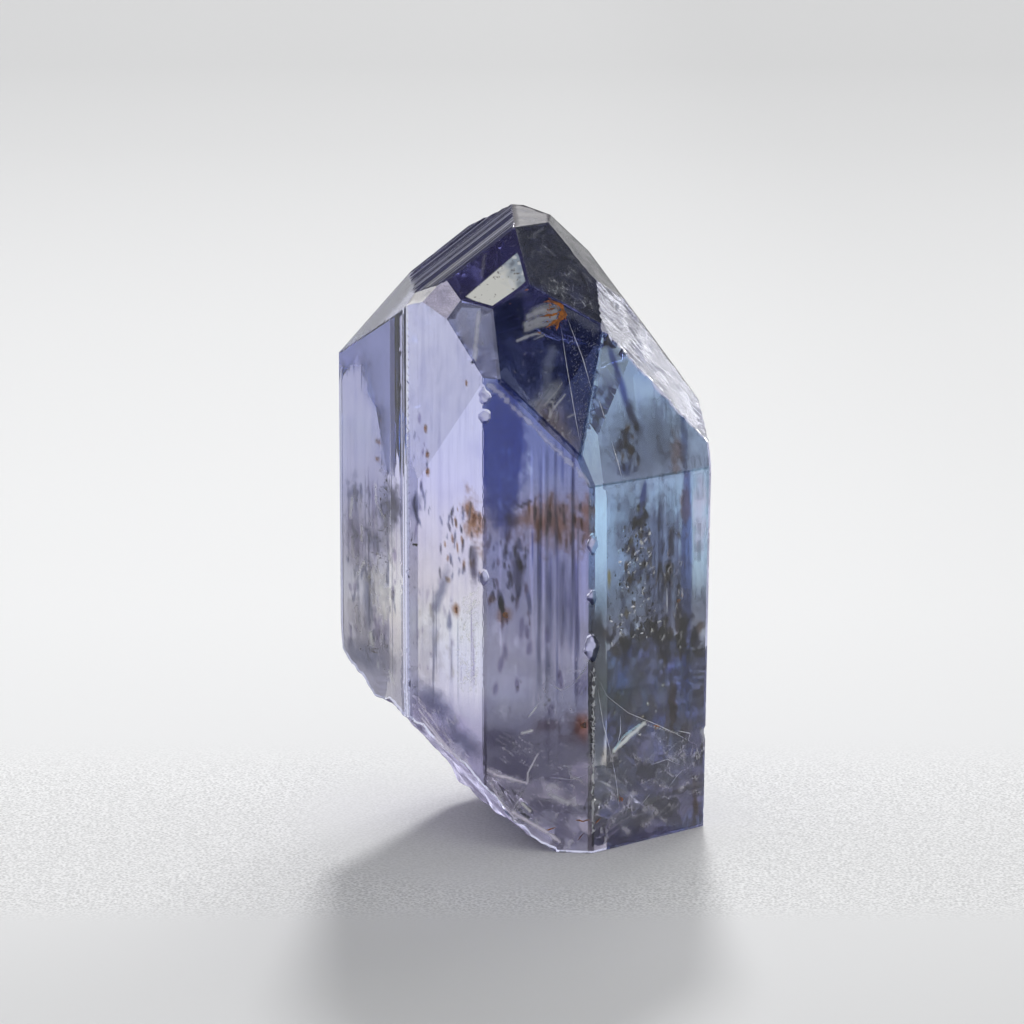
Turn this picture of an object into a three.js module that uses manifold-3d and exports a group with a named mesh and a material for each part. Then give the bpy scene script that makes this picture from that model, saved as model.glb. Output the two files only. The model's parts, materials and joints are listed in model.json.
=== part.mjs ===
// A rough tanzanite crystal, 32 mm tall: one blocky prism of violet-blue zoisite.
// Its upper end is closed by natural growth faces. Its lower end is a slanting
// fracture that ends in a small flat spot, on which the crystal stands.
//
// Units are millimetres. +Z is up, and -Y is the side with the widest clear faces.
// The origin is the middle of the crystal's bounding box, at the height of the flat spot.

import * as THREE from 'three';
import Module from 'manifold-3d';
import { mergeVertices } from 'three/addons/utils/BufferGeometryUtils.js';

// ---------------------------------------------------------------- driving dimensions

// The face distances below are measured from this point on the growth axis.
const AXIS_POINT_HEIGHT = 15.5;

// The block that the faces are cut from, larger than the crystal on every side.
const BLOCK_WIDTH = 40;
const BLOCK_HEIGHT = 50;

// Each growth face: azimuth in degrees (0 faces -Y, 90 faces +X), slope in degrees
// (0 is upright, 90 faces straight up) and distance from the axis point.
const GROWTH_FACES = [
  // Upright prism faces, once round the crystal from the left of the front.
  { name: 'prism left front', azimuth: -58, slope: 0, distance: 6.3 },
  { name: 'prism narrow step', azimuth: -49.5, slope: 0, distance: 6.13 },
  { name: 'prism front left', azimuth: -40.5, slope: 0, distance: 5.9 },
  { name: 'prism front', azimuth: -7.5, slope: 0, distance: 6.65 },
  { name: 'prism front right', azimuth: 44, slope: 0, distance: 8.05 },
  { name: 'prism right', azimuth: 105, slope: -1, distance: 9.5 },
  { name: 'prism back right', azimuth: 131, slope: 0, distance: 9.8 },
  { name: 'prism back', azimuth: 156, slope: 0, distance: 8 },
  { name: 'prism back left', azimuth: -141.5, slope: 0, distance: 7.6 },
  // Sloping faces of the upper end, from the left shoulder to the right one.
  { name: 'left shoulder', azimuth: -79, slope: 38.5, distance: 12.05 },
  { name: 'small left facet', azimuth: -54, slope: 44.5, distance: 12.85 },
  { name: 'left front bevel', azimuth: -22.5, slope: 34.5, distance: 11.35 },
  { name: 'front bevel', azimuth: -5.5, slope: 26.5, distance: 9.85 },
  { name: 'ribbed crown face', azimuth: -70.5, slope: 60.5, distance: 13.7 },
  { name: 'front crown face', azimuth: 3.5, slope: 48.5, distance: 12.25 },
  { name: 'right crown face', azimuth: 40.5, slope: 46, distance: 11.75 },
  { name: 'large front pyramid', azimuth: 22, slope: 27.5, distance: 9.3 },
  { name: 'steep right pyramid', azimuth: 44, slope: 18, distance: 8.7 },
  { name: 'right shoulder', azimuth: 65, slope: 32, distance: 10.5 },
  { name: 'upper right shoulder', azimuth: 77.5, slope: 44.5, distance: 12.25 },
  { name: 'right edge face', azimuth: 93, slope: 36.5, distance: 11.7 },
  { name: 'back right pyramid', azimuth: 123.5, slope: 43.5, distance: 13.2 },
  { name: 'back pyramid', azimuth: -175, slope: 20, distance: 9.2 },
  { name: 'back left pyramid', azimuth: -110, slope: 42, distance: 12.85 },
  { name: 'blunt tip', azimuth: 30, slope: 80, distance: 15.6 },
];

// The flat spot that the crystal rests on is a face too, one that looks straight down.
const REST_SPOT = { name: 'rest spot', azimuth: 0, slope: -90, distance: AXIS_POINT_HEIGHT };

// The fracture climbs from the flat spot towards this azimuth. Its height over the flat
// spot is given at distances from the axis along that azimuth.
const FRACTURE_AZIMUTH = -72;
const FRACTURE_PROFILE = [
  { reach: -14, height: -5.6 },
  { reach: 0.15, height: 0 },
  { reach: 2, height: 1.3 },
  { reach: 3.1, height: 3.1 },
  { reach: 6.2, height: 6.35 },
  { reach: 8.4, height: 7.6 },
  { reach: 14, height: 10.5 },
];

// Behind this line, measured square to the climb, the fracture turns up more steeply.
const FRACTURE_BACK_LINE = 2.2;
const FRACTURE_BACK_RISE = 0.42;

// Shell-like ripples on the fracture: their spacing, height and centre.
const RIPPLE_SPACING = 2.3;
const RIPPLE_HEIGHT = 0.16;
const RIPPLE_CENTRE = { reach: -3, across: -7 };
const FRACTURE_CELL = 0.9;

// Small shell-shaped chips along two upright edges: the edge that each one bites, by the
// azimuths of its two faces, the height of the bite, its radius and its depth.
const CHIPS = [
  { faces: [-40.5, -7.5], height: 23.4, radius: 0.7, depth: 0.16 },
  { faces: [-40.5, -7.5], height: 22.3, radius: 0.5, depth: 0.13 },
  { faces: [-40.5, -7.5], height: 14.1, radius: 0.6, depth: 0.14 },
  { faces: [-7.5, 44], height: 15.9, radius: 0.8, depth: 0.2 },
  { faces: [-7.5, 44], height: 13.2, radius: 0.6, depth: 0.16 },
  { faces: [-7.5, 44], height: 10.6, radius: 1.1, depth: 0.3 },
  { faces: [44, 105], height: 4.9, radius: 0.9, depth: 0.22 },
];
const CHIP_DETAIL = 1;

const CRYSTAL_COLOUR = '#6f78b4';
const CRYSTAL_ROUGHNESS = 0.08;

// ---------------------------------------------------------------- solid helpers

const wasm = await Module();
wasm.setup();

/** Turns a closed three.js geometry into a solid that can be joined and cut. */
function toSolid(geometry) {
  const bare = geometry.clone();
  bare.deleteAttribute('normal');
  bare.deleteAttribute('uv');
  const welded = mergeVertices(bare, 1e-5);
  return new wasm.Manifold(new wasm.Mesh({
    numProp: 3,
    vertProperties: new Float32Array(welded.attributes.position.array),
    triVerts: new Uint32Array(welded.index.array),
  }));
}

/** Turns a solid back into a geometry whose every triangle is flat shaded. */
function toGeometry(solid) {
  const mesh = solid.getMesh();
  const geometry = new THREE.BufferGeometry();
  geometry.setAttribute('position', new THREE.BufferAttribute(mesh.vertProperties, 3));
  geometry.setIndex(new THREE.BufferAttribute(mesh.triVerts, 1));
  const flat = geometry.toNonIndexed();
  flat.computeVertexNormals();
  return flat;
}

/** The outward direction of a face. */
function faceNormal({ azimuth, slope }) {
  const turn = THREE.MathUtils.degToRad(azimuth);
  const rise = THREE.MathUtils.degToRad(slope);
  return new THREE.Vector3(
    Math.sin(turn) * Math.cos(rise),
    -Math.cos(turn) * Math.cos(rise),
    Math.sin(rise),
  );
}

/** Everything in front of a face, as a thick slab that can be cut away. */
function slabBeyond(face) {
  const normal = faceNormal(face);
  const slab = new THREE.BoxGeometry(2 * BLOCK_WIDTH, 2 * BLOCK_WIDTH, BLOCK_WIDTH);
  const axisPoint = new THREE.Vector3(0, 0, AXIS_POINT_HEIGHT);
  const middle = axisPoint.addScaledVector(normal, face.distance + BLOCK_WIDTH / 2);
  const turn = new THREE.Quaternion().setFromUnitVectors(new THREE.Vector3(0, 0, 1), normal);
  slab.applyQuaternion(turn);
  slab.translate(middle.x, middle.y, middle.z);
  return toSolid(slab);
}

// ---------------------------------------------------------------- the growth faces

/** The perfect crystal, before anything broke off it. */
function growCrystal() {
  const block = new THREE.BoxGeometry(BLOCK_WIDTH, BLOCK_WIDTH, BLOCK_HEIGHT);
  block.translate(0, 0, AXIS_POINT_HEIGHT);
  const faces = [...GROWTH_FACES, REST_SPOT];
  return faces.reduce((crystal, face) => crystal.subtract(slabBeyond(face)), toSolid(block));
}

// ---------------------------------------------------------------- the fracture

/** The fracture's height at a distance along its climb, straight between the profile's points. */
function profileHeight(reach) {
  const last = FRACTURE_PROFILE.length - 1;
  const found = FRACTURE_PROFILE.findIndex((point) => point.reach >= reach);
  const upper = found < 0 ? last : Math.max(found, 1);
  const from = FRACTURE_PROFILE[upper - 1];
  const to = FRACTURE_PROFILE[upper];
  return THREE.MathUtils.mapLinear(reach, from.reach, to.reach, from.height, to.height);
}

/** The fracture's height over a point of the ground plane. */
function fractureHeight(x, y) {
  const climb = faceNormal({ azimuth: FRACTURE_AZIMUTH, slope: 0 });
  const reach = x * climb.x + y * climb.y;
  const across = x * climb.y - y * climb.x;
  const fromCentre = Math.hypot(reach - RIPPLE_CENTRE.reach, across - RIPPLE_CENTRE.across);
  const ripple = RIPPLE_HEIGHT * Math.sin((2 * Math.PI * fromCentre) / RIPPLE_SPACING);
  const fade = THREE.MathUtils.smoothstep(reach, 0.5, 2.5);
  const backTurn = FRACTURE_BACK_RISE * Math.max(0, across - FRACTURE_BACK_LINE);
  return profileHeight(reach) + backTurn + ripple * fade;
}

/** Everything under the fracture, as a block whose top is the fracture surface. */
function rockUnderFracture() {
  const cells = Math.round(BLOCK_WIDTH / FRACTURE_CELL);
  const block = new THREE.BoxGeometry(BLOCK_WIDTH, BLOCK_WIDTH, BLOCK_WIDTH, cells, cells, 1);
  const position = block.attributes.position;
  for (let i = 0; i < position.count; i += 1) {
    const isTop = position.getZ(i) > 0;
    const height = isTop ? fractureHeight(position.getX(i), position.getY(i)) : -BLOCK_WIDTH;
    position.setZ(i, height);
  }
  return toSolid(block);
}

// ---------------------------------------------------------------- the chips

/** Where the edge between two upright faces crosses the ground plane. */
function uprightEdge(azimuths) {
  const faces = azimuths.map((azimuth) => (
    GROWTH_FACES.find((face) => face.azimuth === azimuth && Math.abs(face.slope) < 2)
  ));
  const [first, second] = faces.map(faceNormal);
  const determinant = first.x * second.y - first.y * second.x;
  return new THREE.Vector2(
    (faces[0].distance * second.y - faces[1].distance * first.y) / determinant,
    (first.x * faces[1].distance - second.x * faces[0].distance) / determinant,
  );
}

/** A ball that bites a shallow chip out of an upright edge. */
function chipBall({ faces, height, radius, depth }) {
  const edge = uprightEdge(faces);
  const middleAzimuth = (faces[0] + faces[1]) / 2;
  const outward = faceNormal({ azimuth: middleAzimuth, slope: 0 });
  const ball = new THREE.IcosahedronGeometry(radius, CHIP_DETAIL);
  const offset = radius - depth;
  ball.translate(edge.x + outward.x * offset, edge.y + outward.y * offset, height);
  return toSolid(ball);
}

// ---------------------------------------------------------------- the finished crystal

/** The whole crystal as one solid. */
function makeCrystal() {
  const broken = growCrystal().subtract(rockUnderFracture());
  const chipped = CHIPS.reduce((crystal, chip) => crystal.subtract(chipBall(chip)), broken);
  const geometry = toGeometry(chipped);
  geometry.computeBoundingBox();
  const centre = geometry.boundingBox.getCenter(new THREE.Vector3());
  geometry.translate(-centre.x, -centre.y, 0);
  return geometry;
}

const crystal = new THREE.Mesh(
  makeCrystal(),
  new THREE.MeshStandardMaterial({
    color: CRYSTAL_COLOUR,
    roughness: CRYSTAL_ROUGHNESS,
    metalness: 0,
  }),
);
crystal.name = 'tanzanite_crystal';

const part = new THREE.Group();
part.add(crystal);

export default part;
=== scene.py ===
import itertools
import json
import math
import random

import bpy
import numpy as np
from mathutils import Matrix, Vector, noise
from mathutils.geometry import delaunay_2d_cdt

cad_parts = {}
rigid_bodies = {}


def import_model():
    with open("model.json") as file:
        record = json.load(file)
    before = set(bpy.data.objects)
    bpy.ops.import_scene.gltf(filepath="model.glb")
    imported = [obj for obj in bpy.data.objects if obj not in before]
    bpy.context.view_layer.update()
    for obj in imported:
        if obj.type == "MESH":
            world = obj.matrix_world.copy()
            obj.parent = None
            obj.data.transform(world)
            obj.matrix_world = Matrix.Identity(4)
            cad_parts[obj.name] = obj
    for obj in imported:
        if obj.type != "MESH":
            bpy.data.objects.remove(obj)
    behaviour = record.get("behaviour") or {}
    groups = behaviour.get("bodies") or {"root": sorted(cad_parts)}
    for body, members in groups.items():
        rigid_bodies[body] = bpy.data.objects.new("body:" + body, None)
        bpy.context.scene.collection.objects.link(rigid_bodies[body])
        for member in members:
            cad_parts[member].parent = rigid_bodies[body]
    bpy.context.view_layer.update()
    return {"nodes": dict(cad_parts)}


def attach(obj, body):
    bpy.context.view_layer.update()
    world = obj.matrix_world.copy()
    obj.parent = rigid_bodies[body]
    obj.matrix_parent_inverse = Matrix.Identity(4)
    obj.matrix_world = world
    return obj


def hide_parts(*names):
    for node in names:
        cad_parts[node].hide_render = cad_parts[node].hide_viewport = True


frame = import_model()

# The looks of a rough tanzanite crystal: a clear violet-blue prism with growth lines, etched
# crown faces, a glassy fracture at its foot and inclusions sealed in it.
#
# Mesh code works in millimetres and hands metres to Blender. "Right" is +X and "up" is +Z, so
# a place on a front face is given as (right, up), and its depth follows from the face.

MM = 0.001
NODE = "tanzanite_crystal"
BODY = "root"

REFRACTIVE_INDEX = 1.69

# ------------------------------------------------------------------ the crystal's faces

# The direction of each growth face: azimuth in degrees (0 faces -Y, 90 faces +X) and slope in
# degrees (0 is upright, 90 faces up). The places of the faces come from the frame.
FACE_DIRECTIONS = {
    "left": (-58, 0),
    "step": (-49.5, 0),
    "front left": (-40.5, 0),
    "front": (-7.5, 0),
    "front right": (44, 0),
    "right": (105, -1),
    "back right": (131, 0),
    "back": (156, 0),
    "back left": (-141.5, 0),
    "left shoulder": (-79, 38.5),
    "small facet": (-54, 44.5),
    "left bevel": (-22.5, 34.5),
    "front bevel": (-5.5, 26.5),
    "ribbed": (-70.5, 60.5),
    "crown": (3.5, 48.5),
    "right crown": (40.5, 46),
    "large pyramid": (22, 27.5),
    "steep pyramid": (44, 18),
    "right shoulder": (65, 32),
    "upper shoulder": (77.5, 44.5),
    "right edge": (93, 36.5),
    "back right pyramid": (123.5, 43.5),
    "back pyramid": (-175, 20),
    "back left pyramid": (-110, 42),
    "tip": (30, 80),
    "rest spot": (0, -90),
}
BROKEN = "broken"

# How finely each face is divided, in mm: across it and up it. Growth lines run up the prism
# faces, so these are divided finely across and coarsely up.
FACE_CELLS = {
    "left": (0.25, 0.4),
    "step": (0.1, 0.12),
    "front left": (0.25, 0.4),
    "front": (0.2, 0.4),
    "front right": (0.25, 0.4),
    "back": (0.35, 1.2),
    "back left": (0.35, 1.2),
    "right shoulder": (0.1, 0.2),
    "ribbed": (0.12, 0.4),
    "right crown": (0.16, 0.16),
    "large pyramid": (0.16, 0.16),
    "rest spot": (0.8, 0.8),
}
USUAL_CELL = (0.3, 0.3)
EDGE_STEP = 0.1
BROKEN_STEP = 0.17

# The foot of these faces, where the fracture bites under them, is divided more finely.
RIM_FACES = ("left", "step", "front left", "front")
RIM_CELL = 0.065
RIM_REACH = 1.7

# On these faces the growth lines run along the edge shared with another face.
FACE_GRAIN = {
    "ribbed": "crown",
    "right shoulder": "steep pyramid",
}


def direction(azimuth, slope=0.0):
    """The outward direction of a face, as in the CAD model."""
    turn = math.radians(azimuth)
    rise = math.radians(slope)
    return np.array([
        math.sin(turn) * math.cos(rise),
        -math.cos(turn) * math.cos(rise),
        math.sin(rise),
    ])


class Face:
    """A flat face of the crystal, with its own axes: across it (level) and up it."""

    def __init__(self, name, normal, distance):
        self.name = name
        self.normal = normal
        self.distance = distance
        level = np.cross([0.0, 0.0, 1.0], normal)
        if np.linalg.norm(level) < 1e-3:
            level = np.array([1.0, 0.0, 0.0])
        self.across = level / np.linalg.norm(level)
        self.up = np.cross(normal, self.across)
        self.triangles = []

    def turn_grain(self, along):
        """Makes "up" run along a direction that lies in the face."""
        self.up = along if along[2] > 0 else -along
        self.across = np.cross(self.up, self.normal)

    def flat(self, points):
        """The places of points on the face, as (across, up)."""
        return np.stack([points @ self.across, points @ self.up], axis=-1)

    def raised(self, places):
        """The points of the face at (across, up)."""
        places = np.asarray(places, float)
        return (
            places[..., :1] * self.across
            + places[..., 1:2] * self.up
            + self.distance * self.normal
        )

    def border_edges(self):
        """The edges that only one of the face's triangles has."""
        seen = {}
        for triangle in self.triangles:
            for k in range(3):
                edge = tuple(sorted((int(triangle[k]), int(triangle[(k + 1) % 3]))))
                seen[edge] = seen.get(edge, 0) + 1
        return [edge for edge, count in seen.items() if count == 1]

    def under(self, right, up, depth=0.0):
        """The point under the face's surface point at (right, up), that deep inside."""
        normal = self.normal
        y = (self.distance - normal[0] * right - normal[2] * up) / normal[1]
        return np.array([right, y, up]) - depth * normal


def read_solid(node):
    """The frame's solid as points in mm and triangles, with shared points merged."""
    mesh = node.data
    mesh.calc_loop_triangles()
    raw = np.array([node.matrix_world @ v.co for v in mesh.vertices]) / MM
    keys, index = np.unique(np.round(raw, 4), axis=0, return_inverse=True)
    index = index.reshape(-1)
    corners = np.array([t.vertices[:] for t in mesh.loop_triangles])
    triangles = index[corners]
    kept = [t for t in triangles if len(set(t)) == 3]
    return keys, np.array(kept)


# A triangle lies in a face if its corners are this close to the face's plane, in mm, and their
# directions are this alike, as a cosine. A sliver, whose doubled area in mm2 is less than this,
# may look any way.
FACE_GAP = 0.002
FACE_LIKENESS = 0.999
SLIVER = 1e-4


def find_faces(points, triangles):
    """Sorts the solid's triangles into flat faces: the named ones and small broken facets."""
    a, b, c = (points[triangles[:, k]] for k in range(3))
    crossed = np.cross(b - a, c - a)
    doubled_area = np.linalg.norm(crossed, axis=1)
    normals = crossed / np.maximum(doubled_area, 1e-12)[:, None]
    free = np.ones(len(triangles), bool)
    faces = []
    for seed in np.argsort(-doubled_area):
        if not free[seed]:
            continue
        normal = normals[seed]
        distance = float(a[seed] @ normal)
        off = np.abs(points[triangles] @ normal - distance).max(axis=1)
        agrees = (normals @ normal > FACE_LIKENESS) | (doubled_area < SLIVER)
        members = np.nonzero(free & (off < FACE_GAP) & agrees)[0]
        free[members] = False
        face = Face(face_name(normal, doubled_area[members].sum() / 2), normal, distance)
        face.triangles = triangles[members]
        faces.append(face)
    return faces


def by_names(faces):
    """The growth faces by their names."""
    return {face.name: face for face in faces if face.name != BROKEN}


def shared_line(face, other):
    """A point on the line where two faces' planes meet, and the line's direction."""
    along = np.cross(face.normal, other.normal)
    along /= np.linalg.norm(along)
    planes = np.array([face.normal, other.normal, along])
    return np.linalg.solve(planes, [face.distance, other.distance, 0.0]), along


# A growth face has at least this area, in mm2, and looks in its direction this closely, as a
# cosine.
SMALLEST_FACE = 0.2
DIRECTION_LIKENESS = 0.99995


def face_name(normal, area):
    """The name of the growth face that looks this way, or the name for broken facets."""
    if area >= SMALLEST_FACE:
        for name, (azimuth, slope) in FACE_DIRECTIONS.items():
            if normal @ direction(azimuth, slope) > DIRECTION_LIKENESS:
                return name
    return BROKEN


# ------------------------------------------------------------------ dividing the faces


# Triangulation keeps only what the outline encloses, and merges places this close.
INSIDE_ONLY = 1
FACE_MERGE = 1e-7


class FineMesh:
    """The crystal's surface, divided finely, with shared points along the faces' borders."""

    def __init__(self, points, faces):
        self.points = [tuple(p) for p in points]
        self.faces = faces
        self.triangles = []
        self.owners = []
        self.borders = {}
        self.broken_points = set()
        self.split_borders()
        for number, face in enumerate(faces):
            self.divide(number, face)

    def split_borders(self):
        """Puts evenly spaced points along every border edge, once for both its faces."""
        broken = set()
        for face in self.faces:
            step = BROKEN_STEP if face.name == BROKEN else EDGE_STEP
            edges = face.border_edges()
            for edge in edges:
                self.borders[edge] = min(step, self.borders.get(edge, step))
            if face.name == BROKEN:
                broken.update(edges)
        for edge, step in self.borders.items():
            start, end = (np.array(self.points[i]) for i in edge)
            parts = max(1, round(float(np.linalg.norm(end - start)) / step))
            chain = [edge[0]]
            for k in range(1, parts):
                chain.append(len(self.points))
                self.points.append(tuple(start + (end - start) * k / parts))
            chain.append(edge[1])
            self.borders[edge] = chain
            if edge in broken:
                self.broken_points.update(chain)

    def divide(self, number, face):
        """Fills one face with triangles, from its border and a lattice of inner points."""
        chains = [self.borders[edge] for edge in face.border_edges()]
        index = sorted({i for chain in chains for i in chain})
        slot = {i: k for k, i in enumerate(index)}
        edges = [(slot[p], slot[q]) for chain in chains for p, q in zip(chain, chain[1:])]
        rim = face.flat(np.array([self.points[i] for i in index]))
        foot = rim[[i in self.broken_points for i in index]]
        across, up = FACE_CELLS.get(face.name, USUAL_CELL)
        if face.name == BROKEN:
            across = up = BROKEN_STEP
        face.left_border = rim[:, 0].min()
        inner = inner_places(face, rim, foot, edges, across, up)
        for place in face.raised(inner):
            index.append(len(self.points))
            self.points.append(tuple(place))
        squeeze = np.array([1.0, across / up])
        flat = [Vector(p) for p in np.concatenate([rim, inner]) * squeeze]
        _, _, found, origin, _, _ = delaunay_2d_cdt(flat, edges, [], INSIDE_ONLY, FACE_MERGE)
        for triangle in found:
            corners = [index[origin[i][0]] for i in triangle]
            if len(set(corners)) == 3:
                self.triangles.append(corners)
                self.owners.append(number)


def inner_places(face, rim, foot, edges, across, up):
    """The places to divide a face at: also along its growth lines, and closer by its foot."""
    columns = [
        face.left_border + line["across"] + part * line["width"]
        for line in GROWTH_LINES.get(face.name, ())
        for part in (-1, -0.5, 0, 0.5, 1)
    ]
    inner = lattice(rim, edges, columns, across, up)
    if face.name in RIM_FACES:
        fine = lattice(rim, edges, [], RIM_CELL, RIM_CELL)
        far = inner[gaps(inner, foot) > RIM_REACH]
        near = fine[gaps(fine, foot) <= RIM_REACH]
        inner = np.concatenate([far, near])
    return inner


# Columns of inner points are at least this far apart, in mm, and the points keep this share of
# a cell to the outline.
CLOSEST = 0.012
RIM_SHARE = 0.3


def lattice(rim, edges, columns, across, up):
    """Points inside an outline: evenly spaced columns and the extra ones given, in rows."""
    low, high = rim.min(axis=0), rim.max(axis=0)
    columns = spaced(sorted([*columns, *np.arange(low[0] + across / 2, high[0], across)]), CLOSEST)
    rows = np.arange(low[1] + up / 2, high[1], up)
    places = []
    for number, row in enumerate(rows):
        shift = 0.25 * across * (number % 2)
        places += [(column + shift * (across == up), row) for column in columns]
    places = np.array(places).reshape(-1, 2)
    if not len(places):
        return places
    starts = rim[[p for p, _ in edges]]
    ends = rim[[q for _, q in edges]]
    squeeze = np.array([1.0, across / up])
    kept = inside(places, starts, ends) & clear(places, starts, ends, squeeze, RIM_SHARE * across)
    return places[kept]


def gaps(places, others):
    """How far each place is from the nearest of the others."""
    nearest = np.full(len(places), np.inf)
    for other in others:
        nearest = np.minimum(nearest, np.linalg.norm(places - other, axis=1))
    return nearest


def spaced(values, gap):
    """Sorted values with those that crowd the one before left out."""
    kept = []
    for value in values:
        if not kept or value - kept[-1] >= gap:
            kept.append(value)
    return kept


def inside(places, starts, ends):
    """Which places an outline of straight pieces encloses."""
    x, y = places[:, :1], places[:, 1:]
    straddles = (starts[:, 1] > y) != (ends[:, 1] > y)
    rise = ends[:, 1] - starts[:, 1]
    rise = np.where(np.abs(rise) < 1e-12, 1e-12, rise)
    crossing = starts[:, 0] + (y - starts[:, 1]) * (ends[:, 0] - starts[:, 0]) / rise
    return (straddles & (x < crossing)).sum(axis=1) % 2 == 1


def clear(places, starts, ends, squeeze, gap):
    """Which places keep a gap to the outline."""
    p, a, b = places * squeeze, starts * squeeze, ends * squeeze
    run = b - a
    length = np.maximum((run ** 2).sum(axis=1), 1e-12)
    kept = np.ones(len(p), bool)
    for k in range(len(a)):
        t = np.clip(((p - a[k]) @ run[k]) / length[k], 0, 1)
        away = p - (a[k] + t[:, None] * run[k])
        kept &= (away ** 2).sum(axis=1) > gap ** 2
    return kept


# ------------------------------------------------------------------ relief on the faces


def smooth(low, high, value):
    """0 below low, 1 above high and a soft rise between them."""
    t = np.clip((np.asarray(value, float) - low) / (high - low), 0, 1)
    return t * t * (3 - 2 * t)


def soft_noise(points, cell, seed=0.0):
    """Smooth noise of about -1 to 1, whose bumps are about one cell wide."""
    shift = Vector((seed * 7.1, seed * 3.3, seed * 5.7))
    return np.array([noise.noise(Vector(p / cell) + shift) for p in points])


def growth_lines(seed, low, high, count, height, width=0.05, top=None):
    """Grooves and steps across a face between two places, and how high up each one ends."""
    draw = random.Random(seed)
    lines = []
    for _ in range(count):
        lines.append({
            "across": draw.uniform(low, high),
            "width": width * draw.uniform(0.6, 1.6),
            "height": height * draw.uniform(-1, 1),
            "is_step": draw.random() < 0.5,
            "top": None if top is None else draw.uniform(top - 6, top + 1),
        })
    return lines


# Where growth lines show, in mm across each face from its left border.
GROWTH_LINES = {
    "left": growth_lines(1, 5.2, 6.1, 9, 0.016) + growth_lines(2, 0.1, 5.2, 12, 0.005, top=16),
    "step": growth_lines(3, 0.1, 0.5, 4, 0.03, width=0.035),
    "front left": (
        growth_lines(4, 0.06, 0.4, 4, 0.014) + growth_lines(5, 0.5, 4.8, 8, 0.003, top=18)
    ),
    "front": growth_lines(6, 2.5, 5.4, 22, 0.008) + growth_lines(7, 0.2, 2.4, 4, 0.004, top=15),
    "front right": growth_lines(8, 4.4, 8.3, 10, 0.005),
    "back": growth_lines(9, 0, 5, 16, 0.004, width=0.09),
    "back left": growth_lines(10, 1, 10, 14, 0.005, width=0.09),
    "ribbed": growth_lines(12, 0.2, 9, 60, 0.035),
}

# The growth lines fade out over this length, in mm.
LINE_FADE = 1.5


def line_relief(face, places):
    """The height of a face's growth lines over its plane."""
    height = np.zeros(len(places))
    for line in GROWTH_LINES.get(face.name, ()):
        offset = (places[:, 0] - face.left_border - line["across"]) / line["width"]
        shape = smooth(-1, 1, offset) if line["is_step"] else np.exp(-2 * offset ** 2)
        fade = 1.0
        if line["top"] is not None:
            fade = 1 - smooth(line["top"] - LINE_FADE, line["top"], places[:, 1])
        height += line["height"] * shape * fade
    return height


# Etched ridges on the right shoulder, in mm: how high they are, how far apart they run and how
# far they wander.
ETCH_HEIGHT = 0.07
ETCH_SPACING = 0.38
ETCH_WANDER = 0.5


def etched_relief(points, places):
    """Wavy ridges that run along the face's grain."""
    wander = soft_noise(points, 1.6, 1) * ETCH_WANDER + soft_noise(points, 0.5, 2) * 0.12
    phase = (places[:, 0] + wander) / ETCH_SPACING
    ridge = 1 - 2 * np.abs(phase % 1 - 0.5)
    swell = 0.45 + 0.55 * smooth(-0.3, 0.4, soft_noise(points, 0.9, 3))
    return ETCH_HEIGHT * ridge ** 1.5 * swell


# Worn and chipped edges: how far the chips reach into the faces and how deep they are, in mm,
# and how many there are on each mm. The edges of some faces are only slightly worn, and some
# edges have wear of their own.
USUAL_WEAR = (0.13, 0.025, 0.8)
SLIGHT_WEAR = (0.08, 0.006, 1.0)
LITTLE_WORN = (
    "tip", "back", "back left", "back right", "back pyramid", "back left pyramid",
    "back right pyramid",
)
EDGE_WEAR = {
    ("front left", "front"): (0.06, 0.02, 5.0),
    ("front", "front right"): (0.08, 0.035, 8.0),
    ("front", "large pyramid"): (0.11, 0.05, 8.0),
    ("front right", "steep pyramid"): (0.08, 0.03, 4.0),
    ("right crown", "large pyramid"): (0.26, 0.06, 2.6),
    ("right crown", "upper shoulder"): (0.24, 0.06, 2.4),
    ("right crown", "right shoulder"): (0.24, 0.06, 2.4),
    ("large pyramid", "right shoulder"): (0.24, 0.06, 2.4),
    ("steep pyramid", "right shoulder"): (0.24, 0.07, 2.6),
    ("front left", "front bevel"): (0.16, 0.04, 2.2),
    ("front left", "left bevel"): (0.16, 0.04, 2.2),
    ("left", "left shoulder"): (0.2, 0.04, 2.0),
}


def edge_chips(seed, start, end, wear):
    """Chips along an edge: where each one's middle is, its half length and its depth."""
    reach, depth, on_each_mm = wear
    draw = random.Random(seed)
    chips = []
    for _ in range(max(1, round((end - start) * on_each_mm))):
        size = draw.random() ** 2
        middle = draw.uniform(start, end)
        chips.append((middle, reach * (0.5 + 1.2 * size), depth * (0.25 + 0.75 * size)))
    return chips


def chip_relief(points, line, chips, reach):
    """How deep the chips of one edge bite into the faces beside it."""
    foot, along = line
    run = (points - foot) @ along
    away = np.linalg.norm(points - foot - run[:, None] * along, axis=1)
    bite = np.zeros(len(points))
    near = away < 2 * reach
    for middle, half, depth in chips:
        spread = ((run[near] - middle) / half) ** 2 + (away[near] / half) ** 2
        bite[near] = np.maximum(bite[near], depth * np.clip(1 - spread, 0, 1))
    return bite


# Shell-like ripples and small unevenness of the fracture.
SHELL_CENTRE = np.array([6.0, -9.0, 9.0])
SHELL_SPACING = 0.75
SHELL_HEIGHT = 0.03
SHELL_WANDER = 0.35
BROKEN_ROUGHNESS = 0.05
CREASE_HEIGHT = 0.2

# The chips on the edges have little of that, and a finer roughness of their own.
CHIP_SHARE = 0.25
CHIP_ROUGHNESS = 0.11
CHIP_CELL = 0.27

# How much a point is held back in the directions in which no face moves it.
STIFFNESS = 0.02

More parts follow.
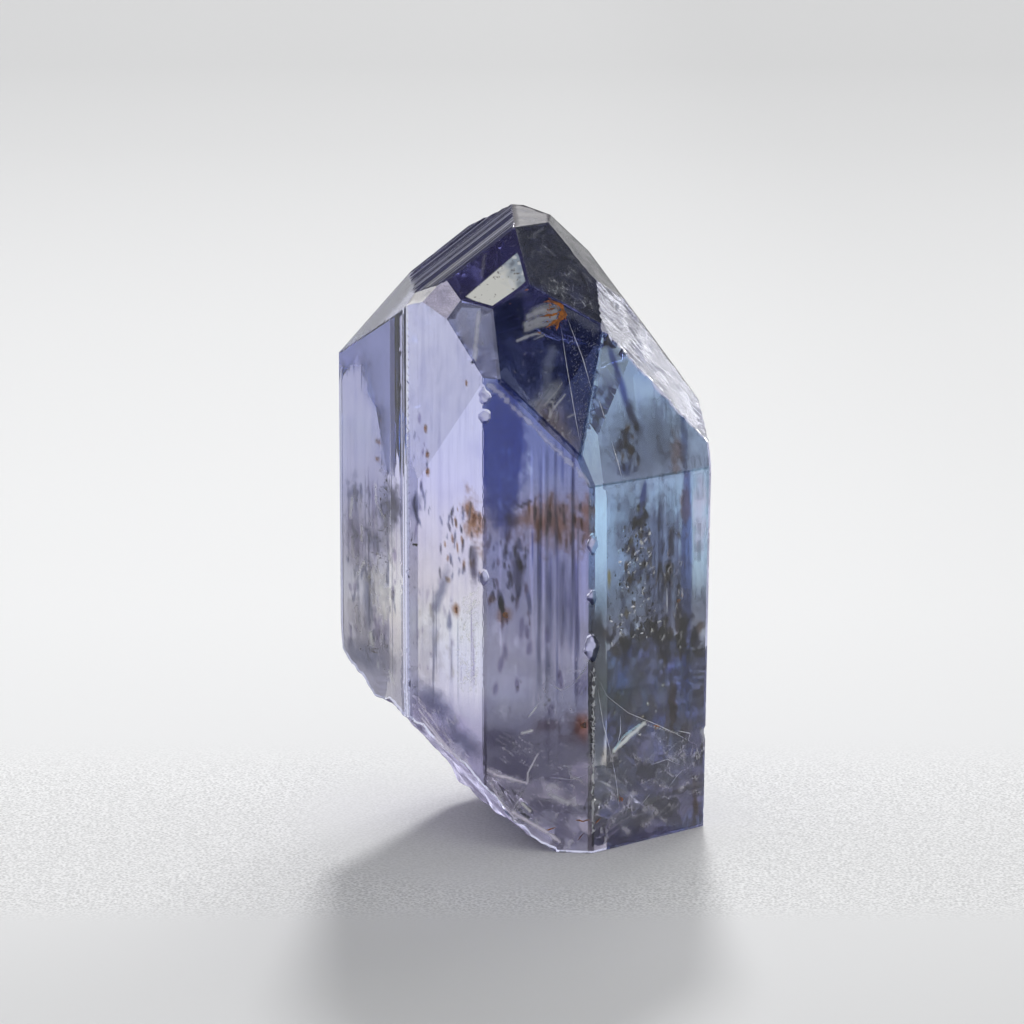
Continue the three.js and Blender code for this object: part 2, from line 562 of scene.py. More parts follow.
# Steps on the front faces where the fracture bites under them: how far each is from its rim, in
# mm, then their half width, height and wander, and how high over the rim's top they may show.
RIM_STEPS = (0.2, 0.48, 0.85, 1.3)
RIM_STEP_HALF = 0.09
RIM_STEP_HEIGHT = 0.028
RIM_STEP_WANDER = 0.08
RIM_STEPS_END = 2.5


def broken_relief(points):
    """Ripples and unevenness of the fracture."""
    wander = SHELL_WANDER * soft_noise(points, 1.5, 4)
    reach = np.linalg.norm(points - SHELL_CENTRE, axis=1) + wander
    ripple = SHELL_HEIGHT * np.sin(2 * math.pi * reach / SHELL_SPACING)
    rough = soft_noise(points, 1.1, 5) + 0.5 * soft_noise(points, 0.4, 6)
    creases = np.abs(soft_noise(points, 2.0, 18)) + 0.5 * np.abs(soft_noise(points, 0.8, 19))
    return ripple + BROKEN_ROUGHNESS * rough - CREASE_HEIGHT * creases


def rim_relief(points, rim):
    """Steps on a front face that follow the rim of the fracture below it."""
    if not len(rim):
        return np.zeros(len(points))
    low = points[:, 2] < rim[:, 2].max() + RIM_STEPS_END
    height = np.zeros(len(points))
    near = points[low]
    gap = gaps(near, rim) + RIM_STEP_WANDER * soft_noise(near, 0.9, 7)
    drop = np.zeros(len(near))
    for step in RIM_STEPS:
        drop += 1 - smooth(step - RIM_STEP_HALF, step + RIM_STEP_HALF, gap)
    swell = 0.4 + 0.6 * smooth(-0.3, 0.3, soft_noise(near, 2.0, 8))
    height[low] = -RIM_STEP_HEIGHT * drop * swell
    return height


def point_normals(points, triangles):
    """Outward directions at the points of a set of triangles."""
    a, b, c = (points[triangles[:, k]] for k in range(3))
    crossed = np.cross(b - a, c - a)
    normals = np.zeros_like(points)
    for k in range(3):
        np.add.at(normals, triangles[:, k], crossed)
    return normals / np.maximum(np.linalg.norm(normals, axis=1, keepdims=True), 1e-12)


class Surface:
    """The fine mesh with its owners sorted out, ready to be given relief."""

    def __init__(self, fine):
        self.faces = fine.faces
        self.points = np.array(fine.points)
        self.triangles = np.array(fine.triangles)
        self.owners = np.array(fine.owners)
        used = np.unique(self.triangles)
        renumber = np.full(len(self.points), -1)
        renumber[used] = np.arange(len(used))
        self.points = self.points[used]
        self.triangles = renumber[self.triangles]
        self.named = np.array([face.name != BROKEN for face in self.faces])
        self.members = {}
        for number, face in enumerate(self.faces):
            if self.named[number]:
                self.members[face.name] = np.unique(self.triangles[self.owners == number])
        self.on_broken = np.zeros(len(self.points), bool)
        self.on_broken[self.broken_triangles()] = True
        self.by_name = by_names(self.faces)
        self.on_fracture = self.reached_from_foot()

    def broken_triangles(self):
        return self.triangles[~self.named[self.owners]]

    def reached_from_foot(self):
        """Which points belong to the big fracture, and not to a chip on an edge."""
        broken = self.broken_triangles()
        reached = np.zeros(len(self.points), bool)
        used = np.unique(broken)
        reached[used[self.points[used, 2].argmin()]] = True
        before = 0
        while reached.sum() > before:
            before = reached.sum()
            reached[broken[reached[broken].any(axis=1)]] = True
        return reached

    def smooth_broken(self, rounds=12):
        """Rounds off the fracture's flat facets, and lets its rim slide within each face."""
        group = np.where(self.on_fracture, 0, -1)
        for number, name in enumerate(self.members):
            rim = self.members[name][self.on_fracture[self.members[name]]]
            group[rim] = np.where(group[rim] == 0, number + 1, -1)
        sides = np.concatenate([self.triangles[:, pair] for pair in ([0, 1], [1, 2], [2, 0])])
        ends = np.unique(np.sort(sides, axis=1), axis=0)
        ends = np.concatenate([ends, ends[:, ::-1]])
        pulled = (group[ends[:, 0]] == 0) | (
            (group[ends[:, 0]] > 0) & (group[ends[:, 0]] == group[ends[:, 1]])
        )
        ends = ends[pulled]
        count = np.bincount(ends[:, 0], minlength=len(self.points))
        free = count > 1
        for _ in range(rounds):
            total = np.zeros_like(self.points)
            np.add.at(total, ends[:, 0], self.points[ends[:, 1]])
            middle = total[free] / count[free][:, None]
            self.points[free] += 0.5 * (middle - self.points[free])

    def face_relief(self, name):
        """The height of one named face's relief at its own points."""
        face = self.by_name[name]
        ids = self.members[name]
        points = self.points[ids]
        places = face.flat(points)
        height = line_relief(face, places)
        if name == "right shoulder":
            height += etched_relief(points, places)
        if name in RIM_FACES:
            height += rim_relief(points, self.points[ids[self.on_fracture[ids]]])
        return height

    def wear_edges(self, relief):
        """Chips the edges between named faces."""
        names = sorted(self.members)
        for first, second in itertools.combinations(names, 2):
            shared = np.intersect1d(self.members[first], self.members[second])
            if len(shared) < 4 or "rest spot" in (first, second):
                continue
            usual = SLIGHT_WEAR if {first, second} & set(LITTLE_WORN) else USUAL_WEAR
            wear = EDGE_WEAR.get((first, second)) or EDGE_WEAR.get((second, first)) or usual
            line = shared_line(self.by_name[first], self.by_name[second])
            run = (self.points[shared] - line[0]) @ line[1]
            chips = edge_chips(first + second, run.min(), run.max(), wear)
            for name in (first, second):
                points = self.points[self.members[name]]
                relief[name] = relief[name] - chip_relief(points, line, chips, wear[0])

    def add_relief(self):
        """Moves every point so that each face it lies on gets its own relief."""
        relief = {name: self.face_relief(name) for name in self.members}
        self.wear_edges(relief)
        hold = np.zeros((len(self.points), 3, 3))
        push = np.zeros((len(self.points), 3))
        for name, ids in self.members.items():
            normal = self.by_name[name].normal
            hold[ids] += np.outer(normal, normal)
            push[ids] += relief[name][:, None] * normal
        broken = np.nonzero(self.on_broken)[0]
        points = self.points[broken]
        normals = point_normals(self.points, self.broken_triangles())[broken]
        hold[broken] += normals[:, :, None] * normals[:, None, :]
        small = np.where(self.on_fracture[broken], 1, CHIP_SHARE)
        height = small * broken_relief(points)
        height += (small < 1) * CHIP_ROUGHNESS * soft_noise(points, CHIP_CELL, 21)
        push[broken] += height[:, None] * normals
        moves = np.linalg.solve(hold + STIFFNESS * np.eye(3), push[:, :, None])[:, :, 0]
        moves[self.members["rest spot"]] = 0
        self.points = self.points + moves
        self.points[:, 2] = np.maximum(self.points[:, 2], 0)


# ------------------------------------------------------------------ colours and painted shade by face

# Colour that each face lets through, from the foot up: height in mm and colour. The dark tints
# of the ribbed, crown, right crown, upper shoulder and right edge faces, and the darker top of
# the large pyramid, are painted shade: they stand in for the dark surroundings that these faces
# show, not for the crystal's colour.
FACE_TINTS_AND_SHADE = {
    "left shoulder": [(24, (0.7, 0.7, 0.78)), (30, (0.6, 0.6, 0.7))],
    "small facet": [(27, (0.8, 0.78, 0.9))],
    "left bevel": [(27, (0.6, 0.56, 0.8))],
    "front bevel": [(24, (0.43, 0.49, 0.82))],
    "ribbed": [(28, (0.2, 0.18, 0.25))],
    "crown": [(28, (0.2, 0.18, 0.5))],
    "right crown": [(28, (0.12, 0.13, 0.2))],
    "large pyramid": [(20, (0.5, 0.5, 0.7)), (28, (0.3, 0.33, 0.6))],
    "right shoulder": [(22, (1, 1, 1))],
    "upper shoulder": [(28, (0.3, 0.3, 0.32))],
    "right edge": [(28, (0.3, 0.3, 0.32))],
}
USUAL_TINT = [(0, (0.92, 0.92, 1.0))]
BROKEN_TINT = [(0, (0.5, 0.46, 0.6)), (7, (0.6, 0.55, 0.75)), (9.5, (0.4, 0.4, 0.58))]

# How frosted each face is, as a roughness. The others are glossy.
FACE_FROST = {
    "left shoulder": 0.2,
    "small facet": 0.35,
    "left bevel": 0.25,
    "front bevel": 0.08,
    "right shoulder": 0.08,
    "upper shoulder": 0.3,
    "right edge": 0.3,
    "tip": 0.5,
    "ribbed": 0.12,
    "right crown": 0.06,
    "large pyramid": 0.02,
}
GLOSSY = 0.0
BROKEN_FROST = 0.3


def tint_at(stops, heights):
    """The colour between the stops at each height."""
    levels = [level for level, _ in stops]
    colours = np.array([colour for _, colour in stops])
    return np.stack([np.interp(heights, levels, colours[:, k]) for k in range(3)], axis=-1)


def corner_layer(mesh, name, values):
    """Writes a number or a colour to each corner of a mesh."""
    if values.ndim == 1:
        layer, key = mesh.attributes.new(name, "FLOAT", "CORNER"), "value"
    else:
        layer, key = mesh.attributes.new(name, "FLOAT_COLOR", "CORNER"), "color"
        values = np.column_stack([values, np.ones(len(values))])
    layer.data.foreach_set(key, values.reshape(-1))


def paint_corners(mesh, surface, untinted):
    """Writes each corner's tint and frost to the mesh, whose last triangles stay untinted."""
    count = len(surface.triangles)
    tint = np.ones((count + untinted, 3, 3))
    frost = np.zeros((count + untinted, 3))
    heights = surface.points[surface.triangles][:, :, 2]
    for number, face in enumerate(surface.faces):
        mine = np.nonzero(surface.owners == number)[0]
        stops = BROKEN_TINT if face.name == BROKEN else FACE_TINTS_AND_SHADE.get(face.name, USUAL_TINT)
        tint[mine] = tint_at(stops, heights[mine])
        frost[mine] = BROKEN_FROST if face.name == BROKEN else FACE_FROST.get(face.name, GLOSSY)
    corner_layer(mesh, "tint", tint.reshape(-1, 3))
    corner_layer(mesh, "frost", frost.reshape(-1))


# ------------------------------------------------------------------ materials


class Nodes:
    """Short calls that build a material's or the world's nodes."""

    def __init__(self, owner):
        owner.use_nodes = True
        self.owner = owner
        self.tree = owner.node_tree

    def named(self, name):
        return self.tree.nodes[name]

    def add(self, kind, inputs=None, **settings):
        node = self.tree.nodes.new("ShaderNode" + kind)
        for key, value in settings.items():
            setattr(node, key, value)
        for key, value in (inputs or {}).items():
            self.feed(node.inputs[key], value)
        return node

    def feed(self, socket, value):
        if isinstance(value, bpy.types.NodeSocket):
            self.tree.links.new(value, socket)
        else:
            socket.default_value = value

    def shade(self, inputs):
        """Feeds the material's shader, and gives the material back."""
        for key, value in inputs.items():
            self.feed(self.named("Principled BSDF").inputs[key], value)
        return self.owner

    def math(self, operation, first, second=0.0):
        return self.add("Math", {0: first, 1: second}, operation=operation).outputs[0]

    def times(self, first, second):
        return self.math("MULTIPLY", first, second)

    def grey(self, value):
        return self.add("CombineColor", dict.fromkeys(("Red", "Green", "Blue"), value)).outputs[0]

    def ramp(self, value, low, high, start=0.0, end=1.0):
        """A soft rise from start, at low, to end, at high."""
        inputs = {"Value": value, "From Min": low, "From Max": high, "To Min": start, "To Max": end}
        return self.add("MapRange", inputs, interpolation_type="SMOOTHSTEP").outputs["Result"]

    def mix(self, share, first, second, blend="MIX"):
        node = self.add("Mix", {0: share, 6: first, 7: second}, data_type="RGBA", blend_type=blend)
        return node.outputs[2]

    def attribute(self, name, output="Fac"):
        return self.add("Attribute", attribute_name=name).outputs[output]

    def object_place(self):
        return self.add("TexCoord").outputs["Object"]

    def noise(self, place, scale, detail=2.0, rough=0.5):
        inputs = {"Vector": place, "Scale": scale, "Detail": detail, "Roughness": rough}
        return self.add("TexNoise", inputs).outputs["Fac"]

    def stretched(self, place, scale):
        return self.add("Mapping", {"Vector": place, "Scale": scale}).outputs["Vector"]


# Absorption of the clear crystal: the colour that passes and how strongly the rest is taken.
CLEAR_COLOUR = (0.62, 0.66, 0.97, 1)
CLEAR_DENSITY = 30.0


def new_material(name):
    return Nodes(bpy.data.materials.new(name))


def gem_material():
    """Clear violet-blue crystal, tinted and frosted face by face; the tints paint shade on the crown.
    """
    nodes = new_material("tanzanite_gem")
    place = nodes.object_place()
    streaks = nodes.noise(nodes.stretched(place, (2600.0, 2600.0, 60.0)), 1.0, 3.0)
    streaks = nodes.ramp(streaks, 0.5, 0.75, 0.0, 0.25)
    clouds = nodes.ramp(nodes.noise(place, 300.0, 3.0), 0.45, 0.75, 0.0, 0.35)
    tint = nodes.attribute("tint", "Color")
    tint = nodes.mix(streaks, tint, (0.25, 0.25, 0.55, 1), "MULTIPLY")
    tint = nodes.mix(clouds, tint, (0.6, 0.58, 0.75, 1), "MULTIPLY")
    volume = nodes.add("VolumeAbsorption", {"Color": CLEAR_COLOUR, "Density": CLEAR_DENSITY})
    nodes.feed(nodes.named("Material Output").inputs["Volume"], volume.outputs[0])
    return nodes.shade({
        "Base Color": tint,
        "Roughness": nodes.attribute("frost"),
        "IOR": REFRACTIVE_INDEX,
        "Transmission Weight": 1.0,
    })


def zone_and_painted_light_material():
    """Clear colour zones, with painted light and shade, painted on the sheets' outer sides, with
    fine streaks added.

    Tanzanite's colour changes with the direction of the light through it. A sheet colours only
    what is seen through its outer side, and lets light out of the crystal as it is, so that each
    face shows its own painted colours.
    """
    nodes = new_material("colour_zone")
    nodes.tree.nodes.remove(nodes.named("Principled BSDF"))
    stretched = nodes.stretched(nodes.object_place(), (9000.0, 9000.0, 260.0))
    streaks = nodes.ramp(nodes.noise(stretched, 1.0, 3.0), 0.5, 0.75, 0.0, 0.12)
    tint = nodes.attribute("tint", "Color")
    tint = nodes.mix(streaks, tint, (0.45, 0.45, 0.6, 1), "MULTIPLY")
    behind = nodes.add("NewGeometry").outputs["Backfacing"]
    clear = nodes.add("BsdfTransparent", {"Color": nodes.mix(behind, tint, (1, 1, 1, 1))})
    nodes.feed(nodes.named("Material Output").inputs["Surface"], clear.outputs[0])
    return nodes.owner


def patchy_material(name, roughness, scale, detail, low, first, second):
    """A matt material in two colours, in small patches."""
    nodes = new_material(name)
    patches = nodes.ramp(nodes.noise(nodes.object_place(), scale, detail), low, 1 - low)
    return nodes.shade({"Base Color": nodes.mix(patches, first, second), "Roughness": roughness})


def stain_material():
    """Rust-brown iron oxide, from orange to dark brown."""
    orange, brown = (0.5, 0.16, 0.02, 1), (0.17, 0.06, 0.02, 1)
    return patchy_material("iron_oxide", 0.6, 5200.0, 3.0, 0.35, orange, brown)


def grain_material():
    """Dark slate and brown mineral grains."""
    slate, brown = (0.03, 0.035, 0.06, 1), (0.2, 0.12, 0.05, 1)
    return patchy_material("dark_grain", 0.5, 1900.0, 2.0, 0.4, slate, brown)


def feather_and_glint_material():
    """Pale, silvery feather cracks and hairs, and painted glints and sparkles."""
    nodes = new_material("pale_feather")
    patches = nodes.noise(nodes.object_place(), 3000.0, 2.0)
    pale = nodes.mix(patches, (0.75, 0.77, 0.85, 1), (0.95, 0.95, 0.97, 1))
    colour = nodes.mix(1.0, pale, nodes.grey(nodes.attribute("shade")), "MULTIPLY")
    return nodes.shade({"Base Color": colour, "Roughness": 0.45})


def film_material():
    """Pale, matt films painted on the faces, with pale inclusions and painted light: glints,
    sparkles, rim highlights and the crown's window. How much they cover is painted too.
    """
    nodes = new_material("pale_film")
    return nodes.shade({
        "Base Color": nodes.attribute("tint", "Color"),
        "Roughness": 0.45,
        "Alpha": nodes.attribute("cover"),
    })


def frost_and_shade_material():
    """Matt etched frost that covers part of the glossy surface, with painted shade in its dark colours.
    """
    nodes = new_material("frosting")
    grains = nodes.ramp(nodes.noise(nodes.object_place(), 22000.0, 2.0), 0.3, 0.7, 0.6, 1.3)
    patches = nodes.ramp(nodes.noise(nodes.object_place(), 700.0, 3.0), 0.3, 0.7, 0.6, 1.25)
    return nodes.shade({
        "Base Color": nodes.attribute("tint", "Color"),
        "Roughness": 0.6,
        "Specular IOR Level": 0.2,
        "Alpha": nodes.times(nodes.attribute("cover"), nodes.times(grains, patches)),
    })


# ------------------------------------------------------------------ the crystal


def make_mesh(name, points, faces):
    """A mesh from points in mm."""
    mesh = bpy.data.meshes.new(name)
    faces = [list(map(int, face)) for face in faces]
    mesh.from_pydata((np.asarray(points) * MM).tolist(), [], faces)
    return mesh


def make_piece(name, mesh, material):
    """An object that rides with the crystal and has its finish."""
    piece = place_in_scene(name, mesh)
    mesh.materials.append(material)
    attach(piece, BODY)
    return piece


# Edges that bend more than this stay sharp, in degrees.
SHARP_EDGE = 24


def make_crystal():
    """The crystal's surface, which replaces the plain CAD solid."""
    solid_points, solid_triangles = read_solid(frame["nodes"][NODE])
    faces = find_faces(solid_points, solid_triangles)
    by_name = by_names(faces)
    for name, other in FACE_GRAIN.items():
        by_name[name].turn_grain(shared_line(by_name[name], by_name[other])[1])
    surface = Surface(FineMesh(solid_points, faces))
    surface.smooth_broken()
    surface.add_relief()
    shells, shell_triangles = bubble_shells(by_name)
    points = np.concatenate([surface.points, shells])
    triangles = np.concatenate([surface.triangles, shell_triangles + len(surface.points)])
    mesh = make_mesh("crystal", points, triangles)
    paint_corners(mesh, surface, len(shell_triangles))
    mesh.shade_smooth()
    mesh.set_sharp_from_angle(angle=math.radians(SHARP_EDGE))
    piece = make_piece("crystal", mesh, gem_material())
    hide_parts(NODE)
    return surface


# ------------------------------------------------------------------ shapes of the inclusions


def corner_count(faces):
    """How many corners some faces have in all."""
    return sum(len(face) for face in faces)


class Heap:
    """Points and faces of many small shapes, gathered into one mesh with a shade for each."""

    def __init__(self):
        self.points = []
        self.faces = []
        self.shades = []

    def add(self, points, faces, shade=1.0):
        start = len(self.points)
        self.points += [tuple(p) for p in points]
        self.faces += [[start + i for i in face] for face in faces]
        self.shades += [shade] * corner_count(faces)

    def mesh(self, name, **layers):
        """All of it as one mesh, with layers of values for its corners, each in parts."""
        mesh = make_mesh(name, self.points, self.faces)
        for key, values in layers.items():
            corner_layer(mesh, key, np.concatenate(values))
        return mesh


def tube_faces(rings, corners):
    """Faces of a closed tube: rings of corners, with a tip point before and after them."""
    first, last = rings * corners, rings * corners + 1
    faces = []
    for k in range(corners):
        after = (k + 1) % corners
        faces.append((first, after, k))
        faces.append((last, (rings - 1) * corners + k, (rings - 1) * corners + after))
        for ring in range(rings - 1):
            low, high = ring * corners, (ring + 1) * corners
            faces.append((low + k, low + after, high + after, high + k))
    return faces


# A thread's parts are about this many widths long, or this many mm where that is longer.
PART_WIDTHS = 2.5
SHORTEST_PART = 0.12


def add_thread(heap, face, path, depth, width, thick=0.4, ragged=0.3, seed=0, shade=1.0):
    """A thread with pointed ends along a path of (right, up) places, at a depth under a face."""
    draw = random.Random(seed)
    knots = [face.under(right, up, depth) for right, up in path]
    spine = [knots[0]]
    part = max(PART_WIDTHS * width, SHORTEST_PART)
    for start, end in zip(knots, knots[1:]):
        parts = max(2, round(float(np.linalg.norm(end - start)) / part))
        spine += [start + (end - start) * k / parts for k in range(1, parts + 1)]
    inner = spine[1:-1]
    points = []
    for k, centre in enumerate(inner, start=1):
        along = spine[k + 1] - spine[k - 1]
        side = np.cross(face.normal, along / np.linalg.norm(along))
        taper = min(1.0, 3 * k / len(spine), 3 * (len(spine) - 1 - k) / len(spine))
        half = width / 2 * taper * draw.uniform(1 - ragged, 1 + ragged)
        centre = centre + side * half * draw.uniform(-ragged, ragged)
        rise = face.normal * half * thick
        points += [centre + side * half, centre + rise, centre - side * half, centre - rise]
    heap.add([*points, spine[0], spine[-1]], tube_faces(len(inner), 4), shade)


def add_flake(heap, face, place, depth, wide, high, draw, rim=9):
    """A thin flake with an uneven outline, nearly level with the face it lies under."""
    centre = face.under(*place, depth)
    tilt = face.normal * draw.uniform(-0.4, 0.4)
    outline = []
    for k in range(rim):
        turn = 2 * math.pi * k / rim
        reach = draw.uniform(0.6, 1.15)
        offset = wide * math.cos(turn) * (face.across + tilt) + high * math.sin(turn) * face.up
        outline.append(centre + reach * offset)
    lift = 0.3 * min(wide, high) * face.normal
    points = [*outline, centre + lift, centre - lift]
    faces = []
    for k in range(rim):
        after = (k + 1) % rim
        faces += [(k, after, rim), (after, k, rim + 1)]
    heap.add(points, faces)


def add_bubble(heap, centre, radii, rings=5, corners=8):
    """A small closed void: a ball squashed to three radii, its faces turned inwards."""
    points = []
    for ring in range(1, rings + 1):
        fall = math.pi * ring / (rings + 1)
        for k in range(corners):
            turn = 2 * math.pi * k / corners
            flat = math.sin(fall)
            points.append([flat * math.cos(turn), flat * math.sin(turn), math.cos(fall)])
    points += [[0, 0, 1], [0, 0, -1]]
    placed = np.array(centre) + np.array(points) * radii
    heap.add(placed, [face[::-1] for face in tube_faces(rings, corners)])


def scatter(draw, corners):
    """A random place in a four-cornered region, given from its lower left anticlockwise."""
    s, t = draw.random(), draw.random()
    a, b, c, d = (np.array(corner) for corner in corners)
    return tuple((1 - t) * ((1 - s) * a + s * b) + t * ((1 - s) * d + s * c))


def short_path(draw, corners, length, shortest, lean, spread):
    """A random straight path in a region, as two places, that leans about a common way."""
    right, up = scatter(draw, corners)
    turn = math.radians(draw.gauss(lean, spread))
    reach = length * draw.uniform(shortest, shortest + 0.9) / 2
    step = (reach * math.cos(turn), reach * math.sin(turn))
    return [(right - step[0], up - step[1]), (right + step[0], up + step[1])]


# ------------------------------------------------------------------ colour zones, clouds and painted light

# Colours of the clouds, stains and dark marks on the flat sheets under the faces, which hold
# the crystal's colour zones and painted light and shade.
BROWN = (0.42, 0.22, 0.1)
SOOT = (0.16, 0.15, 0.22)
SLATE = (0.32, 0.34, 0.46)
ROYAL = (0.165, 0.215, 0.53)
MAUVE = (0.5, 0.46, 0.6)


def split_cells(right, up, wander, cells):
    """Each place's cell, its distance to the cell's border, how fully it belongs, and its slant."""
    seed, count, corners, reach, squeeze, _ = cells
    draw = random.Random(seed)
    middles = np.array([scatter(draw, corners) for _ in range(count)])
    places = np.stack([right, up], axis=1) + 0.25 * wander[:, None] * [1, -1]
    gap = np.linalg.norm((places[:, None] - middles) * [1, squeeze], axis=2)
    nearest = gap.argmin(axis=1)
    two = np.partition(gap, 1, axis=1)
    share = 1 - smooth(0.6 * reach, reach, two[:, 0])
    slant = np.array([draw.uniform(-0.3, 0.3) for _ in range(2 * len(middles))]).reshape(-1, 2)
    lean = np.sum((places - middles[nearest]) * slant[nearest], axis=1)
    return nearest, two[:, 1] - two[:, 0], share, lean


# Low regions broken into flat-toned cells, painted reflections of the fracture's facets seen
# through the lower faces: seed, count, corners of the region, how far a cell reaches from its
# own middle, how much the cells are squeezed, and their tones.
FACET_REFLECTIONS = {
    "front": (
        111, 24, [(-1.9, 0.6), (3.7, -0.4), (3.7, 4.4), (-2.0, 4.4)], 1.5, 1.2,
        [(0.6, 0.58, 0.68), (0.85, 0.85, 0.9), (1.2, 1.16, 1.14), (1.7, 1.62, 1.55),
         (1.0, 0.98, 1.06)],
    ),
    "front left": (
        113, 10, [(-5.2, 5.0), (-2.1, 2.6), (-2.1, 4.8), (-5.2, 7.0)], 1.0, 1.0,
        [(0.6, 0.58, 0.68), (0.85, 0.85, 0.9), (1.2, 1.18, 1.1), (0.75, 0.72, 0.8)],
    ),
    "front right": (
        112, 34, [(3.5, -0.2), (9.4, 1.0), (9.4, 4.6), (3.5, 5.6)], 1.5, 1.1,
        [(0.66, 0.64, 0.66), (0.85, 0.9, 0.85), (1.15, 1.2, 1.15), (1.5, 1.45, 1.45),
         (1.0, 1.05, 1.25)],
    ),
}


def soft_flecks(seed, count, corners, wide, high, colours):
    """Small soft ovals scattered in a region."""
    draw = random.Random(seed)
    for _ in range(count):
        right, up = scatter(draw, corners)
        size = draw.uniform(0.4, 1.3)
        turn = draw.uniform(-12, 12)
        colour = draw.choice(colours)
        height = high * size * draw.uniform(0.6, 1.4)
        yield right, up, wide * size, height, colour, turn, 0.5, 0.5


def soft_lines(seed, count, left, right, half, bottom, top, colours):
    """Soft upright lines scattered between two places."""
    draw = random.Random(seed)
    for _ in range(count):
        foot = draw.uniform(bottom, (bottom + top) / 2)
        head = draw.uniform(foot + 1, top)
        width = half * draw.uniform(0.4, 1.6)
        yield draw.uniform(left, right), width, foot, head, draw.choice(colours)
